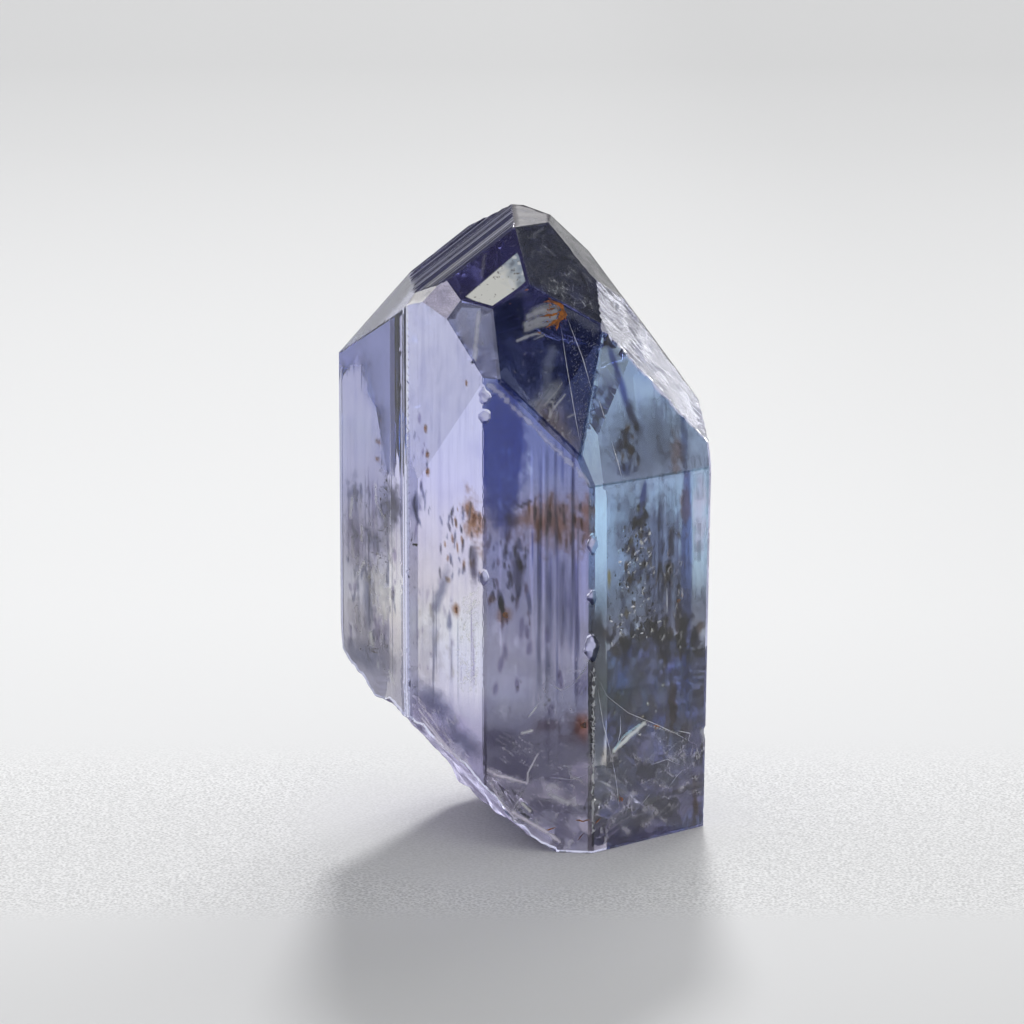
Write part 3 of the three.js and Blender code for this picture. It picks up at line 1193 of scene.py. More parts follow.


# A sheet for each of the six large front faces. A place is (right, up) in mm. Washes and marks
# are partly the crystal's colour zones and inclusions, and partly painted light and shade of what
# is seen through each face. The colours of ovals, flecks, lines and streaks multiply what passes
# there, so numbers over 1 let more of it through; some of these are painted light, such as a
# glow in the large pyramid and a glint on the front right face.
#
# depth: how far the sheet lies under its face, in mm, where it differs from the usual.
# wash: heights in mm, and the colour that passes at each.
# ovals: right, up, half width, half height, colour, and where it differs from the usual, turn
# in degrees, softness and raggedness of the border.
# flecks: seed, count, corners of the region, half width, half height and colours.
# lines: right, half width, bottom, top and colour of a soft upright line.
# streaks: seed, count, left, right, half width, bottom, top and colours of such lines.
SHEETS = {
    "left": {
        "wash": [
            (7.8, (0.6, 0.57, 0.54)), (9.4, (0.7, 0.66, 0.58)), (11, (0.88, 0.82, 0.69)),
            (12.5, (1, 0.98, 0.82)), (14.2, (0.93, 0.88, 0.8)), (15.7, (0.8, 0.76, 0.76)),
            (17.2, (0.8, 0.78, 0.86)), (18.8, (0.92, 0.9, 1)), (20.4, (0.92, 0.92, 1)),
            (24, (0.84, 0.83, 0.98)),
        ],
        "ovals": [
            (-7.4, 21.3, 0.1, 0.2, BROWN), (-7.55, 20.1, 0.2, 0.13, BROWN, -20),
            (-7.65, 19.2, 0.15, 0.1, BROWN), (-7.0, 16.8, 0.5, 1.0, SLATE, 0, 0.8),
            (-8.8, 14.6, 0.5, 1.5, MAUVE, 0, 0.9), (-8.2, 11.6, 0.25, 2.0, SLATE, 0, 0.8),
            (-8.3, 8.6, 1.4, 0.7, SLATE, 0, 0.7), (-6.75, 17.2, 0.3, 0.9, SOOT, 0, 0.9, 0.9),
            (-9.0, 17.0, 0.25, 0.7, SLATE, 0, 0.9, 0.9), (-7.9, 14.9, 0.4, 0.5, SLATE, 0, 0.9, 0.9),
            (-7.5, 10.2, 0.5, 0.5, MAUVE, 0, 0.9, 0.9),
        ],
        "flecks": [(21, 60, [(-9.4, 9), (-6.6, 9), (-6.6, 17), (-9.4, 18)], 0.07, 0.3, [SLATE, MAUVE])],
        "streaks": [(22, 16, -9.4, -6.5, 0.05, 9, 19, [SLATE, MAUVE])],
    },
    "front left": {
        "wash": [
            (5, (0.5, 0.47, 0.55)), (6.5, (0.62, 0.58, 0.68)), (8, (1, 0.97, 0.94)),
            (9.6, (1, 1, 0.96)), (11.5, (1, 1, 0.88)), (13, (0.95, 0.9, 0.82)),
            (14.5, (0.88, 0.83, 0.82)), (16.5, (0.88, 0.84, 0.9)), (18.8, (0.84, 0.83, 1)),
            (21, (0.83, 0.84, 1)), (25, (0.86, 0.87, 1)),
        ],
        "ovals": [
            (-5.3, 10.6, 1.2, 4.2, (0.88, 0.86, 0.86), 0, 0.9), (-5.4, 21.8, 0.08, 0.25, MAUVE),
            (-5.1, 21.3, 0.1, 0.2, BROWN), (-5.0, 20.0, 0.1, 0.2, BROWN),
            (-5.0, 19.1, 0.1, 0.22, BROWN), (-3.0, 23.9, 0.06, 0.14, BROWN),
            (-5.6, 17.3, 0.25, 0.5, SLATE, 0, 0.8), (-2.6, 16.7, 0.35, 1.1, BROWN, 15, 0.9, 1.0),
            (-2.65, 14.7, 0.2, 1.0, SOOT, 0, 0.7), (-3.55, 12.2, 0.18, 0.32, BROWN, 0, 0.7),
            (-3.95, 13.7, 0.12, 0.14, (0.6, 0.45, 0.3)), (-3.9, 11.5, 0.14, 0.4, SLATE),
            (-4.35, 12.9, 0.22, 1.2, SLATE, -18, 0.8),
            (-5.3, 9.6, 0.8, 1.5, (0.8, 0.78, 0.76), 0, 0.9, 0.8),
            (-4.8, 7.2, 1.2, 0.6, SLATE, -38, 0.8), (-3.2, 5.4, 0.9, 0.5, SLATE, -38, 0.8),
        ],
        "flecks": [
            (31, 56, [(-4.4, 13.6), (-2.3, 13.6), (-2.3, 18), (-4.4, 17)], 0.06, 0.24,
             [SOOT, SLATE, BROWN]),
            (32, 24, [(-5.7, 16), (-4.9, 16), (-4.9, 21.5), (-5.7, 21)], 0.05, 0.3, [SLATE, MAUVE]),
            (33, 36, [(-5.7, 7), (-3.6, 6), (-3.6, 13), (-5.7, 13)], 0.06, 0.2,
             [(0.85, 0.83, 0.78), (0.72, 0.7, 0.78)]),
        ],
        "lines": [(-3.8, 0.03, 8, 11, SOOT)],
        "streaks": [(34, 12, -5.8, -2.3, 0.04, 6, 14, [SLATE, MAUVE])],
    },
    "front": {
        "wash": [
            (0.5, (0.36, 0.34, 0.35)), (3, (0.19, 0.18, 0.21)), (5.6, (0.16, 0.15, 0.185)),
            (8, (0.3, 0.3, 0.36)), (10.5, (0.38, 0.37, 0.43)), (12.5, (0.29, 0.29, 0.37)),
            (15.5, (0.28, 0.29, 0.43)), (17, (0.27, 0.25, 0.33)), (19.5, (0.3, 0.34, 0.52)),
            (24, (0.27, 0.32, 0.52)),
        ],
        "ovals": [
            (-1.15, 20.6, 1.15, 4.1, ROYAL, 0, 0.22, 0.2),
            (0.9, 21.6, 2.2, 2.0, (0.7, 0.74, 0.92), -40, 0.7, 0.3),
            (1.2, 17.4, 1.5, 0.9, (0.85, 0.62, 0.45), 0, 0.5, 0.6),
            (1.5, 16.6, 1.3, 0.9, (0.8, 0.62, 0.5), 0, 0.9, 1.0), (0.0, 17.9, 0.62, 0.09, SOOT, 28),
            (3.15, 17.2, 0.25, 1.3, (0.85, 0.55, 0.4), 0, 0.5, 0.8),
            (-0.35, 14.5, 0.32, 0.9, SOOT, 0, 0.8), (-1.0, 12.2, 0.35, 0.3, (0.75, 0.45, 0.28), 0, 0.8),
            (-1.65, 13.0, 0.2, 0.15, (0.6, 0.4, 0.3)), (-0.9, 8.2, 1.0, 1.2, (1.35, 1.35, 1.3), 0, 0.9),
            (-1.3, 5.8, 1.0, 0.5, (0.5, 0.48, 0.6), -8, 0.6),
            (2.7, 6.4, 0.6, 0.6, (0.35, 0.2, 0.18), 0, 0.9, 0.9),
            (2.95, 6.5, 0.3, 0.5, (2.2, 1.0, 0.5), 0, 0.9),
            (1.1, 6.5, 0.6, 0.45, (0.5, 0.4, 0.45), 0, 0.9, 0.8),
            (3.2, 8.8, 0.5, 0.9, (0.6, 0.58, 0.72), -30, 0.5),
            (1.6, 2.9, 0.9, 0.4, (1.5, 1.5, 1.4), -14, 0.9, 0.9),
        ],
        "flecks": [
            (41, 60, [(-1.9, 11.6), (0.3, 11.6), (0.3, 16.4), (-1.9, 16.4)], 0.08, 0.3,
             [SOOT, SLATE, (0.4, 0.3, 0.36)]),
            (42, 26, [(0.0, 16), (3.3, 16), (3.3, 18.4), (0.0, 18)], 0.08, 0.4, [BROWN, SOOT]),
            (44, 90, [(-1.4, 17.4), (0.3, 17.4), (0.3, 21.5), (-1.2, 22)], 0.08, 0.16,
             [(1.45, 1.45, 1.2), (0.8, 0.8, 0.9)]),
            (45, 30, [(-1.8, 7), (3.2, 7), (3.2, 12), (-1.8, 12)], 0.12, 0.35,
             [(1.25, 1.25, 1.2), MAUVE]),
        ],
        "lines": [
            (1.54, 0.07, 14.6, 21.5, SLATE), (1.9, 0.22, 10.2, 15.6, SLATE),
            (2.35, 0.14, 10, 15, (0.4, 0.42, 0.6)), (2.95, 0.3, 11.5, 16, (1.5, 1.5, 1.6)),
            (0.35, 0.06, 12, 21, (1.4, 1.4, 1.4)), (0.95, 0.06, 12, 21, (1.4, 1.4, 1.4)),
            (1.9, 0.06, 18.4, 22.6, ROYAL), (2.4, 0.08, 18, 22.6, ROYAL), (1.2, 0.04, 3.6, 7.2, SLATE),
            (0.75, 0.1, 8, 15.5, SLATE), (1.25, 0.12, 8.5, 15, SLATE), (2.6, 0.07, 7, 13, SLATE),
        ],
        "streaks": [
            (43, 24, 0.2, 3.3, 0.05, 7, 22, [SLATE, MAUVE, ROYAL]),
            (46, 12, -1.8, 3.3, 0.05, 7, 22, [(1.3, 1.3, 1.3)]),
        ],
    },
    "front right": {
        "wash": [
            (1, (0.56, 0.52, 0.5)), (3.5, (0.62, 0.6, 0.54)), (6, (0.58, 0.6, 0.53)),
            (8, (0.48, 0.52, 0.46)), (9.2, (0.56, 0.6, 0.54)), (10.2, (0.72, 0.78, 0.7)),
            (10.8, (0.27, 0.3, 0.31)), (11.6, (0.22, 0.25, 0.27)), (13, (0.34, 0.46, 0.5)),
            (15, (0.5, 0.74, 0.82)), (17.5, (0.6, 0.9, 0.96)), (19, (0.56, 0.76, 0.82)),
        ],
        "ovals": [
            (3.85, 8.4, 0.46, 4.0, (0.17, 0.18, 0.22), 0, 0.12, 0.03),
            (3.85, 12.3, 0.42, 1.2, (0.6, 0.65, 0.68), 0, 0.6, 0.1),
            (6.7, 15.0, 1.7, 3.2, (0.55, 0.5, 0.52), 8, 0.5, 0.5), (6.1, 17.8, 0.14, 0.9, ROYAL, -10),
            (5.9, 16.3, 0.7, 1.2, (0.6, 0.6, 0.7), 14, 0.8, 0.8),
            (7.3, 13.6, 0.9, 3.4, (0.75, 0.75, 0.85), 0, 0.5, 0.3),
            (5.9, 14.0, 0.35, 0.5, SLATE, -30, 0.8, 0.8), (6.0, 16.6, 0.3, 0.4, SOOT, -30, 0.8, 0.8),
            (5.4, 15.4, 0.3, 0.3, SOOT, 0, 0.8, 0.8), (4.38, 14.0, 0.07, 0.5, (0.9, 0.6, 0.15)),
            (8.45, 13.5, 0.3, 6.5, (0.3, 0.34, 0.6), 0, 0.2, 0.05),
            (8.4, 17.1, 0.24, 1.1, (0.85, 0.5, 0.45), 0, 0.5, 0.8),
            (7.6, 15.2, 0.17, 0.8, SOOT, 0, 0.5, 0.8),
            (7.5, 13.7, 0.22, 0.7, (0.14, 0.07, 0.04), 0, 0.5, 0.8),
            (7.25, 10.8, 0.25, 0.65, (0.12, 0.08, 0.08), 0, 0.5, 0.8),
            (7.75, 6.8, 0.2, 1.2, (0.34, 0.16, 0.12), 0, 0.5, 0.9),
            # Painted glint: a pale spot, brighter than the wash.
            (7.2, 7.3, 0.35, 0.4, (1.5, 1.5, 1.5), 0, 0.8, 0.8),
            (8.0, 11.4, 0.16, 1.6, (0.3, 0.22, 0.24), 0, 0.5, 0.7), (7.0, 16.6, 0.14, 0.9, SLATE),
            (9.1, 15.2, 0.5, 3.4, (1.8, 1.75, 1.5), 0, 0.8),
            (4.8, 8.3, 1.0, 0.9, (0.8, 0.95, 0.7), 0, 0.9),
            (8.4, 7.4, 0.6, 1.3, (0.7, 0.85, 1.2), 0, 0.9),
            (7.3, 5.0, 1.6, 1.0, (1.25, 1.2, 1.15), 0, 0.9), (6.9, 5.8, 0.2, 0.1, BROWN),
            (4.95, 2.5, 0.1, 0.2, BROWN), (9.0, 1.2, 0.12, 1.1, BROWN, 0, 0.8, 0.8),
            (9.2, 9.9, 0.45, 0.6, (0.45, 0.45, 0.52), 0, 0.6, 0.6),
        ],
        "flecks": [
            (51, 70, [(4.4, 10.5), (7.0, 10.5), (6.4, 17.5), (5.6, 17.5)], 0.09, 0.2,
             [SOOT, SLATE, BROWN, (0.7, 0.5, 0.2)]),
            (54, 46, [(4.4, 10.5), (7.0, 10.5), (6.4, 16.5), (5.6, 16.5)], 0.05, 0.07,
             [(2.2, 2.1, 2.0)]),
            (56, 44, [(4.2, 9.8), (9.3, 9.4), (9.3, 11.2), (4.2, 11.5)], 0.22, 0.36,
             [SOOT, SLATE, (0.5, 0.4, 0.34)]),
            (55, 60, [(3.8, 4.5), (9.2, 4.5), (9.2, 10.8), (3.8, 11.2)], 0.36, 0.55,
             [(1.3, 1.36, 1.3), (0.68, 0.7, 0.68), (1.1, 1.15, 1.4), (0.75, 0.68, 0.6)]),
            (52, 26, [(6.8, 9), (8.2, 9), (8.2, 17), (6.8, 16)], 0.07, 0.4, [SOOT, BROWN, SLATE]),
        ],
        "streaks": [(53, 12, 6.4, 8.6, 0.06, 8, 18, [SLATE, MAUVE])],
    },
    "large pyramid": {
        "depth": 0.45,
        "wash": [
            (20.5, (0.52, 0.52, 0.5)), (22.6, (0.4, 0.42, 0.45)), (24.4, (0.26, 0.3, 0.36)),
            (26.5, (0.26, 0.28, 0.34)), (28.5, (0.5, 0.46, 0.42)),
        ],
        "ovals": [
            # The first two ovals are painted light: a pale glow in the crown.
            (1.15, 24.0, 0.3, 1.3, (2.4, 2.4, 2.2), -8, 0.9),
            (0.75, 23.1, 0.9, 0.6, (2.0, 2.0, 1.8), -20, 0.9),
            (1.4, 22.0, 0.6, 0.8, (1.4, 1.15, 0.9), 0, 0.9), (1.1, 22.3, 0.2, 0.25, SOOT, 0, 0.8),
            (3.0, 24.4, 1.0, 2.8, (0.6, 0.66, 0.84), 0, 0.5, 0.2),
        ],
    },
    "steep pyramid": {
        "wash": [
            (19.3, (0.4, 0.5, 0.54)), (21, (0.46, 0.62, 0.66)), (22, (0.52, 0.72, 0.76)),
            (23, (0.58, 0.8, 0.84)), (26, (0.66, 0.84, 0.86)),
        ],
        "ovals": [
            (6.6, 20.6, 1.9, 1.7, (0.5, 0.5, 0.52), -20, 0.5, 0.4),
            (4.55, 25.0, 0.14, 0.9, ROYAL, 18, 0.8), (5.1, 23.3, 0.16, 1.2, ROYAL, 16, 0.8),
            (5.65, 21.8, 0.2, 0.9, SOOT, 20, 0.8), (6.0, 24.4, 0.9, 0.7, (0.8, 0.86, 0.96), -40, 0.4),
            (4.95, 20.6, 0.2, 0.35, SOOT, 0, 0.5, 0.8),
            (5.5, 20.3, 0.25, 0.28, (0.2, 0.1, 0.05), 0, 0.5, 0.8),
            (5.2, 19.5, 0.3, 0.35, (0.25, 0.3, 0.5), 0, 0.5, 0.8),
            (7.9, 19.9, 0.35, 0.8, (0.85, 0.55, 0.45), 0, 0.5, 0.8),
            (8.3, 20.4, 0.2, 1.4, (0.4, 0.44, 0.6), 0, 0.3),
        ],
        "flecks": [
            (61, 36, [(4.6, 19.3), (6.0, 19.3), (5.8, 21.5), (4.8, 21.5)], 0.1, 0.16,
             [SOOT, SLATE, BROWN]),
        ],
        "streaks": [(62, 10, 6.5, 8.4, 0.06, 19, 24, [SLATE, MAUVE])],
    },
}
SHEET_DEPTH = 0.3
SHEET_CELLS = (0.07, 0.14)
SHEET_THICKNESS = 0.03
SHEET_MARGIN = 0.06
SHEET_MERGE = 1e-5

# The sheets end this far above the rim of the fracture, in mm.
FOOT_GAP = 0.08

# How much of the red, green and blue light the sheets' fine unevenness holds back.
UNEVEN = np.array([0.11, 0.11, 0.05])


class Paint:
    """The colour that a sheet lets through at each of its points."""

    def __init__(self, points):
        self.right, self.up = points[:, 0], points[:, 2]
        self.ragged = soft_noise(points, 0.5, 9) + 0.6 * soft_noise(points, 0.17, 10)
        self.grain = soft_noise(points * [1, 1, 0.08], 0.13, 11)
        self.mottle = soft_noise(points, 0.9, 12)
        self.colour = np.ones((len(points), 3))

    def take(self, share, colour):
        self.colour *= 1 + share[:, None] * (np.array(colour) - 1)

    def oval(self, right, up, wide, high, colour, turn=0, soft=0.5, ragged=0.35):
        """Lays a soft oval."""
        turn = math.radians(turn)
        x, y = self.right - right, self.up - up
        along = x * math.cos(turn) + y * math.sin(turn)
        above = y * math.cos(turn) - x * math.sin(turn)
        reach = np.hypot(along / wide, above / high) + ragged * self.ragged
        self.take(1 - smooth(1 - soft, 1 + soft, reach), colour)

    def line(self, right, half, bottom, top, colour):
        """Lays a soft upright line."""
        across = np.exp(-((self.right - right) / half) ** 2)
        fade = smooth(bottom, bottom + 1, self.up) * (1 - smooth(top - 1, top, self.up))
        self.take(across * fade * np.clip(0.75 + 0.5 * self.grain, 0, 1), colour)

    def fill(self, name, recipe):
        """Lays all of a sheet's colours, and gives them back."""
        self.colour *= tint_at(recipe["wash"], self.up)
        uneven = np.clip(self.grain, 0, 1) + np.clip(self.mottle, 0, 1)
        self.colour *= 1 - uneven[:, None] * UNEVEN
        # Painted reflections of the fracture's facets, in flat tones.
        if name in FACET_REFLECTIONS:
            cells = FACET_REFLECTIONS[name]
            nearest, _, share, lean = split_cells(self.right, self.up, self.ragged, cells)
            tones = np.array(cells[-1])
            self.take(share, tones[nearest % len(tones)] * (1 + lean)[:, None])
        flecks = [soft_flecks(*row) for row in recipe.get("flecks", ())]
        for oval in itertools.chain(recipe["ovals"], *flecks):
            self.oval(*oval)
        streaks = [soft_lines(*row) for row in recipe.get("streaks", ())]
        for line in itertools.chain(recipe.get("lines", ()), *streaks):
            self.line(*line)
        return np.clip(self.colour, 0, 1)


def cut_outline(outline, along, limit):
    """The part of an outline that lies within a limit in some direction."""
    kept = []
    for k, place in enumerate(outline):
        before = outline[k - 1]
        here, there = place @ along - limit, before @ along - limit
        if (here < 0) != (there < 0):
            kept.append(before + (place - before) * there / (there - here))
        if here < 0:
            kept.append(place)
    return kept


def border_loop(triangles):
    """The points round the border of some triangles, in order: the longest way round."""
    sides = {(t[k], t[(k + 1) % 3]) for t in triangles for k in range(3)}
    onward = {p: q for p, q in sides if (q, p) not in sides}
    longest = []
    while onward:
        start, here = next(iter(onward.items()))
        del onward[start]
        loop = [start]
        while here in onward:
            loop.append(here)
            here = onward.pop(here)
        if len(loop) > len(longest):
            longest = loop
    return longest


def sheet_outline(surface, face, depth, margin):
    """The outline of a flat sheet at a depth under a face, as wide as the crystal lets it be."""
    number = next(k for k, other in enumerate(surface.faces) if other is face)
    loop = border_loop(sorted(map(tuple, surface.triangles[surface.owners == number].tolist())))
    places = face.flat(surface.points[loop])
    places[surface.on_broken[loop], 1] += FOOT_GAP
    outline = list(places)
    for other in surface.by_name.values():
        if other is face:
            continue
        along = np.array([other.normal @ face.across, other.normal @ face.up])
        limit = other.distance - margin - (face.distance - depth) * (other.normal @ face.normal)
        outline = cut_outline(outline, along, limit)
    return outline


def divided(outline, step):
    """An outline with points added so that they are about a step apart."""
    rim = []
    for k, end in enumerate(outline):
        start = outline[k - 1]
        parts = max(1, round(float(np.linalg.norm(end - start)) / step))
        rim += [start + (end - start) * part / parts for part in range(parts)]
    return np.array(rim)


def flat_slab(surface, name, depth, thickness, cells):
    """A thin closed slab at a depth under a face: points, front, other faces and places over."""
    face = surface.by_name[name]
    across, up = cells
    rim = divided(sheet_outline(surface, face, depth, SHEET_MARGIN), up)
    edges = [(k, (k + 1) % len(rim)) for k in range(len(rim))]
    inner = lattice(rim, edges, [], across, up)
    squeeze = np.array([1.0, across / up])
    flat = [Vector(place) for place in np.concatenate([rim, inner]) * squeeze]
    found, _, front, _, _, _ = delaunay_2d_cdt(flat, edges, [], INSIDE_ONLY, SHEET_MERGE)
    over = face.raised(np.array(found) / squeeze)
    points = over - depth * face.normal
    loop = border_loop(sorted(map(tuple, front)))
    back = points[loop] - thickness * face.normal
    first = len(points)
    after = [*range(1, len(loop)), 0]
    walls = [(loop[k], first + k, first + after[k], loop[after[k]]) for k in range(len(loop))]
    behind = [tuple(range(first + len(loop) - 1, first - 1, -1))]
    return np.concatenate([points, back]), front, walls + behind, over


def make_zones_and_painted_light(surface):
    """All the sheets of colour zones and painted light, as one mesh with its colours on its corners."""
    heap = Heap()
    tint = []
    for name, recipe in SHEETS.items():
        depth = recipe.get("depth", SHEET_DEPTH)
        points, front, others, over = flat_slab(surface, name, depth, SHEET_THICKNESS, SHEET_CELLS)
        colours = Paint(over).fill(name, recipe)
        heap.add(points, [*front, *others])
        tint += [colours[np.ravel(front)], np.ones((corner_count(others), 3))]
    make_piece("colour_zones", heap.mesh("colour_zones", tint=tint), zone_and_painted_light_material())


# ------------------------------------------------------------------ inclusions as shapes

# Stains, feather cracks, healed lines and painted glints lie flat on the faces' own surface, so
# that they show brightly. Each is a path of (right, up) places in mm on a face, with its width.
SURFACE_LIFT = 0.012
STAIN_THREADS = {
    "large pyramid": [
        ([(0.95, 27.75), (1.4, 27.78), (1.8, 27.6), (1.9, 27.3)], 0.16),
        ([(1.2, 27.95), (1.45, 27.8)], 0.1),
        ([(1.72, 27.72), (1.98, 27.35), (1.9, 27.0), (1.5, 26.6)], 0.3),
        ([(1.85, 27.3), (1.45, 27.12), (0.7, 27.06)], 0.13),
        ([(1.9, 27.0), (1.5, 26.75), (1.05, 26.5)], 0.2),
        ([(1.75, 26.9), (1.6, 26.35)], 0.12),
        ([(1.6, 27.45), (1.2, 27.4)], 0.08),
        ([(0.66, 26.36), (0.85, 26.28)], 0.12),
        ([(2.05, 27.1), (2.1, 26.8)], 0.06),
    ],
    "crown": [([(0.0, 28.35), (0.22, 28.4)], 0.08), ([(-0.75, 27.75), (-0.66, 27.8)], 0.06)],
    "front": [
        ([(0.95, 1.05), (1.65, 1.3)], 0.07),
        ([(2.7, 0.6), (3.05, 1.05)], 0.1),
        ([(2.6, 1.7), (3.0, 1.65), (3.35, 1.75)], 0.1),
    ],
    "front right": [
        ([(3.6, 1.5), (3.9, 1.75)], 0.06),
        ([(6.6, 5.95), (7.0, 5.8)], 0.14),
        ([(4.92, 2.6), (5.0, 2.3)], 0.12),
    ],
}
STAIN_CRUMBS = 70
STAIN_REGION = [(1.0, 26.5), (1.9, 26.5), (2.05, 27.6), (1.2, 27.85)]

LONG_LINES = {
    "large pyramid": [
        ([(1.85, 26.6), (2.1, 24.9), (2.5, 22.6), (2.84, 20.8)], 0.026),
        ([(2.15, 27.0), (2.95, 25.0), (3.45, 23.3)], 0.03),
    ],
    "steep pyramid": [
        ([(4.4, 20.9), (4.7, 19.9), (4.92, 19.1)], 0.04),
        ([(3.75, 23.0), (4.1, 21.9)], 0.03),
    ],
    "front right": [
        ([(3.8, 8.9), (4.2, 8.0), (5.3, 6.9), (6.9, 5.9), (7.9, 5.2), (9.1, 4.3)], 0.02),
        ([(3.7, 8.6), (4.0, 6.6), (4.5, 4.6)], 0.03),
        ([(4.4, 5.1), (4.7, 3.4), (4.9, 1.6)], 0.018),
        ([(4.9, 6.9), (4.9, 6.0), (4.7, 5.2)], 0.03),
        ([(6.4, 3.9), (7.4, 4.0), (8.1, 3.5)], 0.016),
        ([(7.4, 2.4), (7.9, 3.0), (8.3, 3.3)], 0.014),
        ([(7.3, 13.1), (7.32, 11.6)], 0.05),
        ([(7.9, 5.4), (8.6, 5.1), (8.5, 4.7)], 0.04),
    ],
    "front": [
        ([(-1.5, 3.95), (-0.6, 3.75), (0.15, 3.55)], 0.03),
        ([(0.15, 3.5), (0.2, 4.1), (0.7, 5.1)], 0.025),
        ([(0.1, 3.5), (-0.3, 2.6), (-0.6, 2.1)], 0.02),
        ([(2.4, 8.6), (3.1, 9.6), (3.3, 10.2)], 0.04),
        ([(1.2, 8.8), (1.9, 8.4), (2.6, 8.9)], 0.03),
        ([(1.2, 3.9), (2.4, 3.8), (3.2, 4.1)], 0.03),
        ([(-0.55, 2.0), (0.4, 1.45), (1.3, 0.95), (1.8, 0.55)], 0.04),
        ([(-1.6, 3.2), (-1.0, 2.3), (-0.7, 2.05)], 0.035),
    ],
}
# Painted glints, drawn as pale threads on the faces.
PAINTED_GLINTS = {
    "front right": [
        ([(4.5, 5.1), (5.2, 5.6), (6.1, 6.2)], 0.09),
        ([(4.6, 5.3), (5.3, 5.88), (5.9, 6.22)], 0.035),
        ([(4.9, 5.2), (5.5, 5.62)], 0.04),
        ([(6.0, 1.9), (6.5, 2.4)], 0.02),
        ([(8.1, 13.0), (8.13, 12.2)], 0.03),
        ([(4.74, 14.8), (4.95, 14.82)], 0.12),
        ([(5.4, 12.38), (5.65, 12.36)], 0.1),
        ([(4.3, 11.9), (4.5, 11.8)], 0.12),
        ([(5.9, 10.9), (6.1, 10.9)], 0.1),
        ([(5.2, 13.5), (5.3, 13.4)], 0.09),
    ],
    "front": [
        ([(0.2, 6.95), (0.75, 7.7)], 0.06),
        ([(0.05, 6.15), (0.5, 6.35)], 0.05),
        ([(1.6, 2.75), (2.1, 2.6)], 0.04),
    ],
}

# Pits, sparkles, hairs and bits along a worn edge, scattered on the faces as short threads:
# seed, count, corners of the region, length, width, lean in degrees and shade. The sparkles, on
# the front left face, are painted highlights.
SHORT_THREADS = [
    ("large pyramid", 73, 330, [(2.75, 21.3), (3.3, 20.9), (3.85, 26.3), (2.1, 27.4)], 0.1, 0.022,
     70, 0.35),
    ("front left", 74, 60, [(-3.6, 8.4), (-2.4, 8.2), (-2.35, 13.4), (-3.2, 12.4)], 0.26, 0.05,
     70, 1.0),
    ("front", 75, 46, [(0.6, 7.0), (3.2, 6.6), (3.3, 10.2), (1.2, 9.6)], 0.35, 0.01, 45, 0.5),
    ("front", 80, 130, [(3.44, 0.9), (3.54, 0.9), (3.54, 9.6), (3.44, 9.6)], 0.28, 0.055, 80, 0.75),
]

# Dark mineral grains, and small voids: face, corners of the region, count, size and depths.
GRAIN_REGION = [(4.3, 10.6), (7.0, 10.6), (6.3, 16.8), (5.5, 16.8)]
GRAIN_COUNT = 130
BUBBLE_REGIONS = [
    ("front right", GRAIN_REGION, 90, 0.075, (0.3, 1.4)),
    ("front right", [(4.4, 1.5), (8.6, 1.5), (8.6, 8), (4.4, 8)], 26, 0.07, (0.3, 2.5)),
    ("front", [(-1.0, 1.6), (3.2, 1.6), (3.2, 9), (-1.0, 9)], 26, 0.06, (0.3, 2.5)),
]

# Brown flakes under the faces: right, up, half width and half height.
FLAKES = {
    "left": [
        (-7.4, 21.3, 0.07, 0.12), (-7.5, 20.1, 0.12, 0.06), (-7.65, 20.2, 0.06, 0.06),
        (-7.65, 19.2, 0.1, 0.05),
    ],
    "front left": [
        (-5.1, 21.3, 0.05, 0.12), (-5.0, 20.0, 0.06, 0.1), (-5.0, 19.1, 0.08, 0.13),
        (-3.5, 12.2, 0.1, 0.18),
    ],
    "front right": [
        (8.0, 12.2, 0.16, 0.1), (8.2, 12.45, 0.08, 0.12), (6.9, 5.75, 0.17, 0.07),
        (4.95, 2.5, 0.08, 0.18),
    ],
    "front": [(-0.95, 12.2, 0.14, 0.16), (3.0, 6.6, 0.18, 0.2)],
    "ribbed": [(-4.7, 29.2, 0.1, 0.12)],
}
FLAKE_DEPTH = 0.2


def random_threads(heap, face, seed, count, corners, length, width, lean, shade):
    """Short straight threads scattered in a region, that lean about a common way."""
    draw = random.Random(seed)
    for number in range(count):
        path = short_path(draw, corners, length, 0.4, lean, 35)
        wide = width * draw.uniform(0.5, 1.4)
        add_thread(heap, face, path, -SURFACE_LIFT, wide, seed=number, shade=shade)


def make_stain(by_name):
    """The rust-brown star of iron oxide in the crown, and brown cracks and flakes elsewhere."""
    heap = Heap()
    lift = 2 * SURFACE_LIFT
    for name, threads in STAIN_THREADS.items():
        for number, (path, width) in enumerate(threads):
            add_thread(heap, by_name[name], path, -lift, width, thick=0.2, ragged=0.55, seed=number)
    draw = random.Random(71)
    for _ in range(STAIN_CRUMBS):
        size = draw.uniform(0.015, 0.05)
        place = scatter(draw, STAIN_REGION)
        add_flake(heap, by_name["large pyramid"], place, -lift, size, size, draw, rim=6)
    for name, flakes in FLAKES.items():
        for right, up, wide, high in flakes:
            add_flake(heap, by_name[name], (right, up), FLAKE_DEPTH, wide, high, draw)
    make_piece("iron_stain", heap.mesh("iron_stain"), stain_material())


def make_dark_grains(by_name):
    """Dark mineral grains in the cloud under the front right face."""
    heap = Heap()
    draw = random.Random(72)
    for _ in range(GRAIN_COUNT):
        wide = draw.uniform(0.03, 0.1)
        place = scatter(draw, GRAIN_REGION)
        depth = draw.uniform(0.35, 1.2)
        high = wide * draw.uniform(0.6, 1.6)
        add_flake(heap, by_name["front right"], place, depth, wide, high, draw, rim=6)
    make_piece("dark_grains", heap.mesh("dark_grains"), grain_material())


